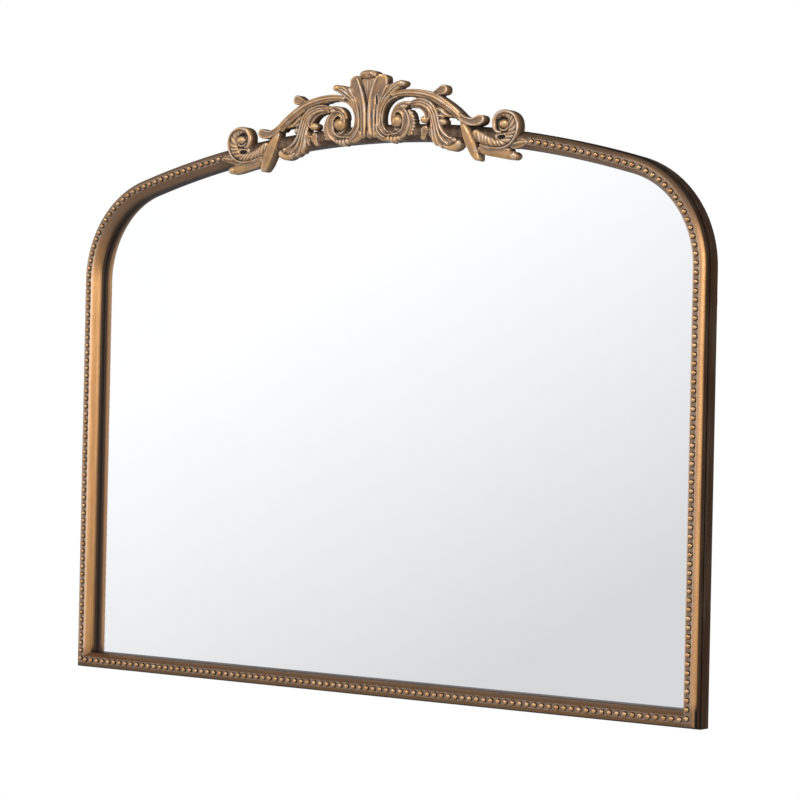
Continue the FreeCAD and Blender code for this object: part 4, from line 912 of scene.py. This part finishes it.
    def seat(self, x: np.ndarray, z: np.ndarray) -> np.ndarray:
        """Gives the y of the carving's back at points, on the rail where it crosses the rail."""
        depth = np.maximum(self.back, self.arch.front(x, z) + self.seat_gap)
        return -(self.arch.rail_back + depth)

    def settle(self, obj: bpy.types.Object, front: np.ndarray) -> None:
        """Shapes a sheet and extrudes it back to the seat.

        Args:
            obj: The sheet.
            front: Places of the sheet's points on the mirror, in metres.
        """
        only(obj)
        write_points(obj.data, front)
        edit_all(bpy.ops.mesh.extrude_region_move)
        points = read_points(obj.data)
        back = np.zeros(len(points), dtype=bool)
        obj.data.vertices.foreach_get("select", back)
        seat = self.seat(points[:, 0], points[:, 2])
        points[back, 1] = seat[back]
        points[~back, 1] = np.minimum(points[~back, 1], seat[~back] - self.voxel)
        write_points(obj.data, points)
        edit_all(bpy.ops.mesh.normals_make_consistent, inside=False)

    def placed(self, x: np.ndarray, height: np.ndarray, z: np.ndarray) -> np.ndarray:
        """Moves points of the drawing, in millimetres, to their places on the mirror, in metres."""
        y = -(self.arch.rail_back + self.back) - height * MM
        return np.column_stack([x * MM, y, self.arch.apex - self.eye_line_drop + z * MM])

    def member(self, stroke: Stroke) -> bpy.types.Object:
        """Models a stroke: a grid bent along its path, given its section and extruded to the seat."""
        path = np.array(stroke.path, dtype=float)
        spans = np.hypot(*np.diff(path, axis=0).T)
        knots = np.concatenate([[0.0], np.cumsum(spans)])
        length = knots[-1]
        widest = max(stroke.widths)
        bpy.ops.object.select_all(action="DESELECT")
        bpy.ops.mesh.primitive_grid_add(
            x_subdivisions=max(self.least_steps, int(length / self.along_step)),
            y_subdivisions=max(self.least_steps, int(widest / self.across_step)),
            size=2.0,
        )
        sheet = bpy.context.object
        plan = read_points(sheet.data)
        along = (plan[:, 0] + 1) / 2 * length
        across = plan[:, 1]
        middle = smooth_through(path, knots, along)
        ahead = smooth_through(path, knots, np.minimum(along + self.heading_step, length))
        behind = smooth_through(path, knots, np.maximum(along - self.heading_step, 0.0))
        heading = ahead - behind
        heading /= np.linalg.norm(heading, axis=1)[:, None]
        width = np.interp(along, np.linspace(0, length, len(stroke.widths)), stroke.widths)
        front = np.interp(along, np.linspace(0, length, len(stroke.fronts)), stroke.fronts)
        if len(stroke.widths) == len(knots):
            width = np.interp(along, knots, stroke.widths)
            front = np.interp(along, knots, stroke.fronts)
        to_end = np.minimum(along, length - along) / (width / 2 * stroke.blunt)
        rounding = np.sqrt(np.clip(1 - (1 - np.clip(to_end, self.least_end, 1)) ** 2, 0, 1))
        half = across * width / 2 * rounding
        section = self.profile(stroke.section, across, along, stroke.ribs)
        height = front - stroke.relief * (1 - section * rounding)
        x = middle[:, 0] - heading[:, 1] * half
        z = middle[:, 1] + heading[:, 0] * half
        self.settle(sheet, self.placed(x, height, z))
        return sheet

    def ball(self, knob: Knob) -> bpy.types.Object:
        """Models a knob: a sphere halved in edit mode, placed and extruded to the seat."""
        bpy.ops.object.select_all(action="DESELECT")
        bpy.ops.mesh.primitive_uv_sphere_add(segments=32, ring_count=16, radius=1.0)
        dome = bpy.context.object
        edit_all(bpy.ops.mesh.bisect, plane_co=(0, 0, 0), plane_no=(0, 0, 1), clear_inner=True)
        plan = read_points(dome.data)
        x = knob.centre[0] + plan[:, 0] * knob.radius * knob.stretch[0]
        z = knob.centre[1] + plan[:, 1] * knob.radius * knob.stretch[1]
        height = knob.front - knob.radius * knob.dome * (1 - plan[:, 2])
        self.settle(dome, self.placed(x, height, z))
        return dome

    def fuse(self, name: str, members: list[bpy.types.Object]) -> bpy.types.Object:
        """Joins members into one casting and smooths it.

        Args:
            name: Name of the casting.
            members: Closed solids that overlap.

        Returns:
            The casting, at the origin.
        """
        bpy.ops.object.select_all(action="DESELECT")
        for part in members:
            part.select_set(True)
        bpy.context.view_layer.objects.active = members[0]
        bpy.ops.object.join()
        casting = bpy.context.object
        casting.name = name
        remesh = casting.modifiers.new("fuse", "REMESH")
        remesh.mode = "VOXEL"
        remesh.voxel_size = self.voxel
        bpy.ops.object.modifier_apply(modifier=remesh.name)
        ease = casting.modifiers.new("ease", "SMOOTH")
        ease.factor = 0.5
        ease.iterations = 2
        bpy.ops.object.modifier_apply(modifier=ease.name)
        bpy.ops.object.shade_smooth()
        return casting

    def press(self, casting: bpy.types.Object, dents: tuple[Dent, ...]) -> None:
        """Presses slots into a casting's front, leaves a thin skin over its seat, and stores how far into
        each slot a point lies, for the painted shade there.
        """
        points = read_points(casting.data)
        x = points[:, 0] / MM
        z = (points[:, 2] - self.arch.apex + self.eye_line_drop) / MM
        skin = self.seat(points[:, 0], points[:, 2]) - self.voxel
        front = points[:, 1] < skin
        # share of the painted shade in the slots
        painted_shade = np.zeros(len(points), dtype=np.float32)
        for dent in dents:
            off = np.hypot((x - dent.centre[0]) / dent.reach[0], (z - dent.centre[1]) / dent.reach[1])
            inside = front & (off < 1)
            pressed = points[:, 1] + dent.depth * MM * np.sqrt(np.clip(1 - off**2, 0, 1))
            points[inside, 1] = np.minimum(pressed, skin)[inside]
            painted_shade[inside] = 1 - off[inside] ** 2
        write_points(casting.data, points)
        layer = casting.data.attributes.new(WearAndShading.SLOT.value, "FLOAT", "POINT")
        layer.data.foreach_set("value", painted_shade)

    def rub(self, casting: bpy.types.Object) -> None:
        """Stores on the casting how far each point stands out of what is near it, from 0 to 1, for its worn
        gilt, painted shade and painted highlights.
        """
        mesh = casting.data
        points = read_points(mesh)
        edges = np.empty(len(mesh.edges) * 2, dtype=np.int64)
        mesh.edges.foreach_get("vertices", edges)
        first, second = edges[0::2], edges[1::2]
        count = np.maximum(np.bincount(edges, minlength=len(points)), 1)[:, None]
        normals = np.empty(len(points) * 3)
        mesh.vertices.foreach_get("normal", normals)
        normals = normals.reshape(-1, 3)
        readings = {
            self.edge_rounds: (WearAndShading.EDGE, self.edge_reach),
            self.swell_rounds: (WearAndShading.SWELL, self.swell_reach),
        }
        eased = points.copy()
        for turn in range(1, self.swell_rounds + 1):
            total = np.zeros_like(eased)
            for axis in range(3):
                total[:, axis] += np.bincount(first, eased[second, axis], len(points))
                total[:, axis] += np.bincount(second, eased[first, axis], len(points))
            eased = total / count
            if turn in readings:
                wear, reach = readings[turn]
                stand = ((points - eased) * normals).sum(axis=1)
                layer = mesh.attributes.new(wear.value, "FLOAT", "POINT")
                layer.data.foreach_set("value", np.clip(0.5 + 0.5 * stand / reach, 0, 1).astype(np.float32))

    def mirrored(self, casting: bpy.types.Object, name: str) -> bpy.types.Object:
        """Copies a casting to the other side of the middle, with its own mesh."""
        only(casting)
        bpy.ops.object.duplicate()
        other = bpy.context.object
        other.name = name
        bpy.ops.transform.resize(value=(-1.0, 1.0, 1.0), center_override=(0.0, 0.0, 0.0))
        bpy.ops.object.transform_apply(location=True, rotation=True, scale=True)
        edit_all(bpy.ops.mesh.normals_make_consistent, inside=False)
        return other

    def flipped(self, item: Stroke | Knob) -> Stroke | Knob:
        """Draws a stroke or knob again on the left."""
        if isinstance(item, Knob):
            return replace(item, centre=(-item.centre[0], item.centre[1]))
        path = tuple((-x, z) for x, z in reversed(item.path))
        return replace(item, path=path, widths=item.widths[::-1], fronts=item.fronts[::-1])

    def carve(self, name: str, drawing: list[Stroke | Knob], *dents: Dent) -> bpy.types.Object:
        """Models every stroke and knob of a drawing, fuses them and presses the slots."""
        solids = [self.ball(d) if isinstance(d, Knob) else self.member(d) for d in drawing]
        casting = self.fuse(name, solids)
        self.press(casting, dents)
        self.rub(casting)
        return casting

    def build(self) -> list[bpy.types.Object]:
        """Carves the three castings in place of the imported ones.

        Returns:
            The palmette, the right spray and the left spray.
        """
        half = self.palmette()
        palmette = self.carve("palmette_carving", half + [self.flipped(d) for d in half], self.lobe_slot)
        spray = self.scroll() + self.stem() + self.acanthus() + self.volute()
        right = self.carve("right_spray_carving", spray, self.volute_slot)
        left = self.mirrored(right, "left_spray_carving")
        castings = [palmette, right, left]
        for casting, node in zip(castings, ("crest_palmette", "crest_right_spray", "crest_left_spray")):
            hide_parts(node)
            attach(casting, "frame")
            casting.visible_glossy = False
        return castings

    def dress(self, castings: list[bpy.types.Object]) -> None:
        """Paints the castings."""
        CarvingPaint("crest bronze").dress(*castings)


@dataclass
class MirrorFrame:
    """The rails and beading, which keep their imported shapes."""

    rails: tuple[str, ...] = (
        "frame_bottom_rail", "frame_left_stile", "frame_right_stile", "frame_left_arch", "frame_right_arch",
    )
    beads: tuple[str, ...] = (
        "bottom_beading", "left_stile_beading", "right_stile_beading",
        "left_arch_beading", "right_arch_beading",
    )

    def dress(self) -> list[bpy.types.Object]:
        """Paints the rails and the beading.

        Returns:
            The painted pieces.
        """
        rails = [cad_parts[name] for name in self.rails]
        beads = [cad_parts[name] for name in self.beads]
        MouldingPaint("rail bronze").dress(*rails)
        BeadingPaint("bead bronze").dress(*beads)
        return rails + beads


@dataclass
class PaneAndBack:
    """The silvered pane, what packs it, and the fittings on the back."""

    pane: tuple[str, ...] = ("mirror_glass",)
    board: tuple[str, ...] = ("backing_board",)
    foam: tuple[str, ...] = ("glass_cushion_sheet",)
    rubber: tuple[str, ...] = ("glass_setting_blocks", "wall_pads")
    wood: tuple[str, ...] = ("mitre_splines", "spring_dowels", "crown_dowel")
    zinc: tuple[str, ...] = (
        "backing_screws", "hanger_screws", "left_hanger_strap", "right_hanger_strap", "left_hanger_ring",
        "right_hanger_ring", "crest_pins",
    )

    def dress(self) -> list[bpy.types.Object]:
        """Puts each finish on its pieces.

        Returns:
            The finished pieces.
        """
        dressed: list[bpy.types.Object] = []
        for finish, names in (
            (Silvering("silvered glass"), self.pane),
            (BoardFinish("hardboard"), self.board),
            (FoamFinish("packing foam"), self.foam),
            (RubberFinish("black rubber"), self.rubber),
            (WoodFinish("joint timber"), self.wood),
            (ZincFinish("zinc plate"), self.zinc),
        ):
            pieces = [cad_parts[name] for name in names]
            finish.dress(*pieces)
            dressed += pieces
        return dressed


@dataclass
class Studio:
    """A pale floor below the hung mirror, soft lamps and white surroundings.

    A run holds two parts of a direction, between which the screens come in.

    Attributes:
        drop: Distance from the mirror's underside to the floor.
        floor_side: Side of the floor.
        floor_tone: Colour of the floor.
        front_run: Run of the screens in front, along y.
        side_run: Run of the screen on the right, along x.
        above_run: Run of their upper edge, along z.
        below_run: Run of their lower edge, along z.
        rise: How much lighter the screens get upwards.
        drift: How much lighter they get to the right.
        middle_tone: Their light straight ahead.
        tone_limits: Their least and greatest light.
        fill: Light of the whole room.
        brightest: Most light that anything gets.
    """

    drop: float = 0.58
    floor_side: float = 4.2
    floor_tone: Colour = (0.84, 0.84, 0.84)
    front_run: Run = (0.45, -0.30)
    side_run: Run = (0.70, 0.95)
    above_run: Run = (0.80, 0.25)
    below_run: Run = (-0.50, -0.11)
    rise: float = 1.75
    drift: float = -1.30
    middle_tone: float = 0.085
    tone_limits: Run = (0.625, 1.0)
    fill: float = 0.10
    brightest: float = 1.07

    def floor(self) -> None:
        """Lays a pale matt floor, small enough to stay out of the pane's reflection."""
        bpy.ops.object.select_all(action="DESELECT")
        bpy.ops.mesh.primitive_plane_add(size=self.floor_side, location=(0, 0, CAD_BOX[0][2] - self.drop))
        floor = bpy.context.object
        floor.name = "studio_floor"
        material = bpy.data.materials.new("pale floor")
        material.use_nodes = True
        sheet = NodeSheet(material.node_tree)
        shader = material.node_tree.nodes["Principled BSDF"]
        sheet.feed(shader.inputs["Base Color"], self.floor_tone)
        sheet.feed(shader.inputs["Roughness"], 0.9)
        floor.data.materials.append(material)

    def surroundings(self) -> None:
        """Lights the room: bright screens round the front, dim above, below and behind."""
        world = bpy.data.worlds.new("studio")
        bpy.context.scene.world = world
        world.use_nodes = True
        sheet = NodeSheet(world.node_tree)
        x, y, z = sheet.parts(sheet.coordinates("Generated"))
        ahead = sheet.math("MAXIMUM", sheet.step(y, *self.front_run), sheet.step(x, *self.side_run))
        screens = sheet.times(sheet.step(z, *self.above_run), sheet.step(z, *self.below_run), ahead)
        fall = sheet.math("ADD", sheet.times(z, self.rise), sheet.times(x, self.drift))
        least, most = self.tone_limits
        tone = sheet.math("MAXIMUM", sheet.math("ADD", fall, self.middle_tone), least)
        studio = sheet.math("ADD", sheet.times(screens, sheet.math("MINIMUM", tone, most)), self.fill)
        seen = sheet.add("ShaderNodeLightPath").outputs["Is Camera Ray"]
        light = sheet.math("MAXIMUM", sheet.math("MINIMUM", studio, self.brightest), seen)
        back = world.node_tree.nodes["Background"]
        sheet.feed(back.inputs["Strength"], light)
        sheet.feed(back.inputs["Color"], (1.0, 1.0, 1.0))

    def lamp(self, name: str, place: Triple, aim: Triple, side: float, power: float) -> None:
        """Hangs a square soft lamp.

        Args:
            name: Name of the lamp.
            place: Where it hangs.
            aim: What it points at.
            side: Its side.
            power: Its power in watts.
        """
        data = bpy.data.lights.new(name, "AREA")
        data.shape = "SQUARE"
        data.size = side
        data.energy = power
        lamp = bpy.data.objects.new(name, data)
        lamp.location = place
        lamp.rotation_euler = (Vector(aim) - Vector(place)).to_track_quat("-Z", "Y").to_euler()
        bpy.context.scene.collection.objects.link(lamp)

    def build(self) -> None:
        """Sets up the floor, the surroundings and the lamps."""
        bpy.context.scene.view_settings.view_transform = "Standard"
        self.floor()
        self.surroundings()
        self.lamp("key", (-0.2, -2.2, 1.7), (0.0, 0.0, 0.0), 0.6, 22.0)
        self.lamp("side", (2.6, -1.0, 0.5), (0.0, 0.0, 0.0), 1.2, 24.0)


@dataclass
class PhotoCamera:
    """The photograph's view of the mirror, as fitted to its bead line, sight edge and crest.

    Attributes:
        turn: Degrees to the right of the mirror's front.
        distance: From the middle of the beading's front.
        height: Over the underside.
        bead_front: The y of the beads, which the view was fitted to.
        focal: Focal length in pixels of the picture's side.
        middle: Pixel where the view's axis meets the picture.
        roll: Degrees that the camera leans to the left.
        side: The picture's side in pixels.
        sensor: Width of the camera's sensor in millimetres.
        farthest: How far the camera sees.
    """

    turn: float = 36.91
    distance: float = 3.0166
    height: float = 0.3305
    bead_front: float = -0.0365
    focal: float = 2544.5
    middle: Point = (361.83, 417.18)
    roll: float = 1.228
    side: float = 800.0
    sensor: float = 36.0
    farthest: float = 100.0

    def build(self) -> None:
        """Makes the camera and sets it as the scene's."""
        data = bpy.data.cameras.new("photo_camera")
        data.sensor_width = self.sensor
        data.lens = self.focal / self.side * self.sensor
        data.shift_x = (self.side / 2 - self.middle[0]) / self.side
        data.shift_y = (self.middle[1] - self.side / 2) / self.side
        data.clip_end = self.farthest
        camera = bpy.data.objects.new("photo_camera", data)
        angle = math.radians(self.turn)
        place = Vector((
            self.distance * math.sin(angle),
            self.bead_front - self.distance * math.cos(angle),
            CAD_BOX[0][2] + self.height,
        ))
        facing = Matrix.Rotation(angle, 4, "Z") @ Matrix.Rotation(math.pi / 2, 4, "X")
        lean = Matrix.Rotation(math.radians(self.roll), 4, "Z")
        camera.matrix_world = Matrix.Translation(place) @ facing @ lean
        bpy.context.scene.collection.objects.link(camera)
        bpy.context.scene.camera = camera


def main() -> None:
    """Builds and dresses the mirror, sets up the studio and reports each piece."""
    logging.basicConfig(level=logging.INFO, format="%(message)s")
    pieces = MirrorFrame().dress() + PaneAndBack().dress()
    crest = Crest(ArchLine())
    castings = crest.build()
    crest.dress(castings)
    Studio().build()
    PhotoCamera().build()
    for piece in pieces + castings:
        LOG.info("%s: %d faces", piece.name, len(piece.data.polygons))


if __name__ == "__main__":
    main()
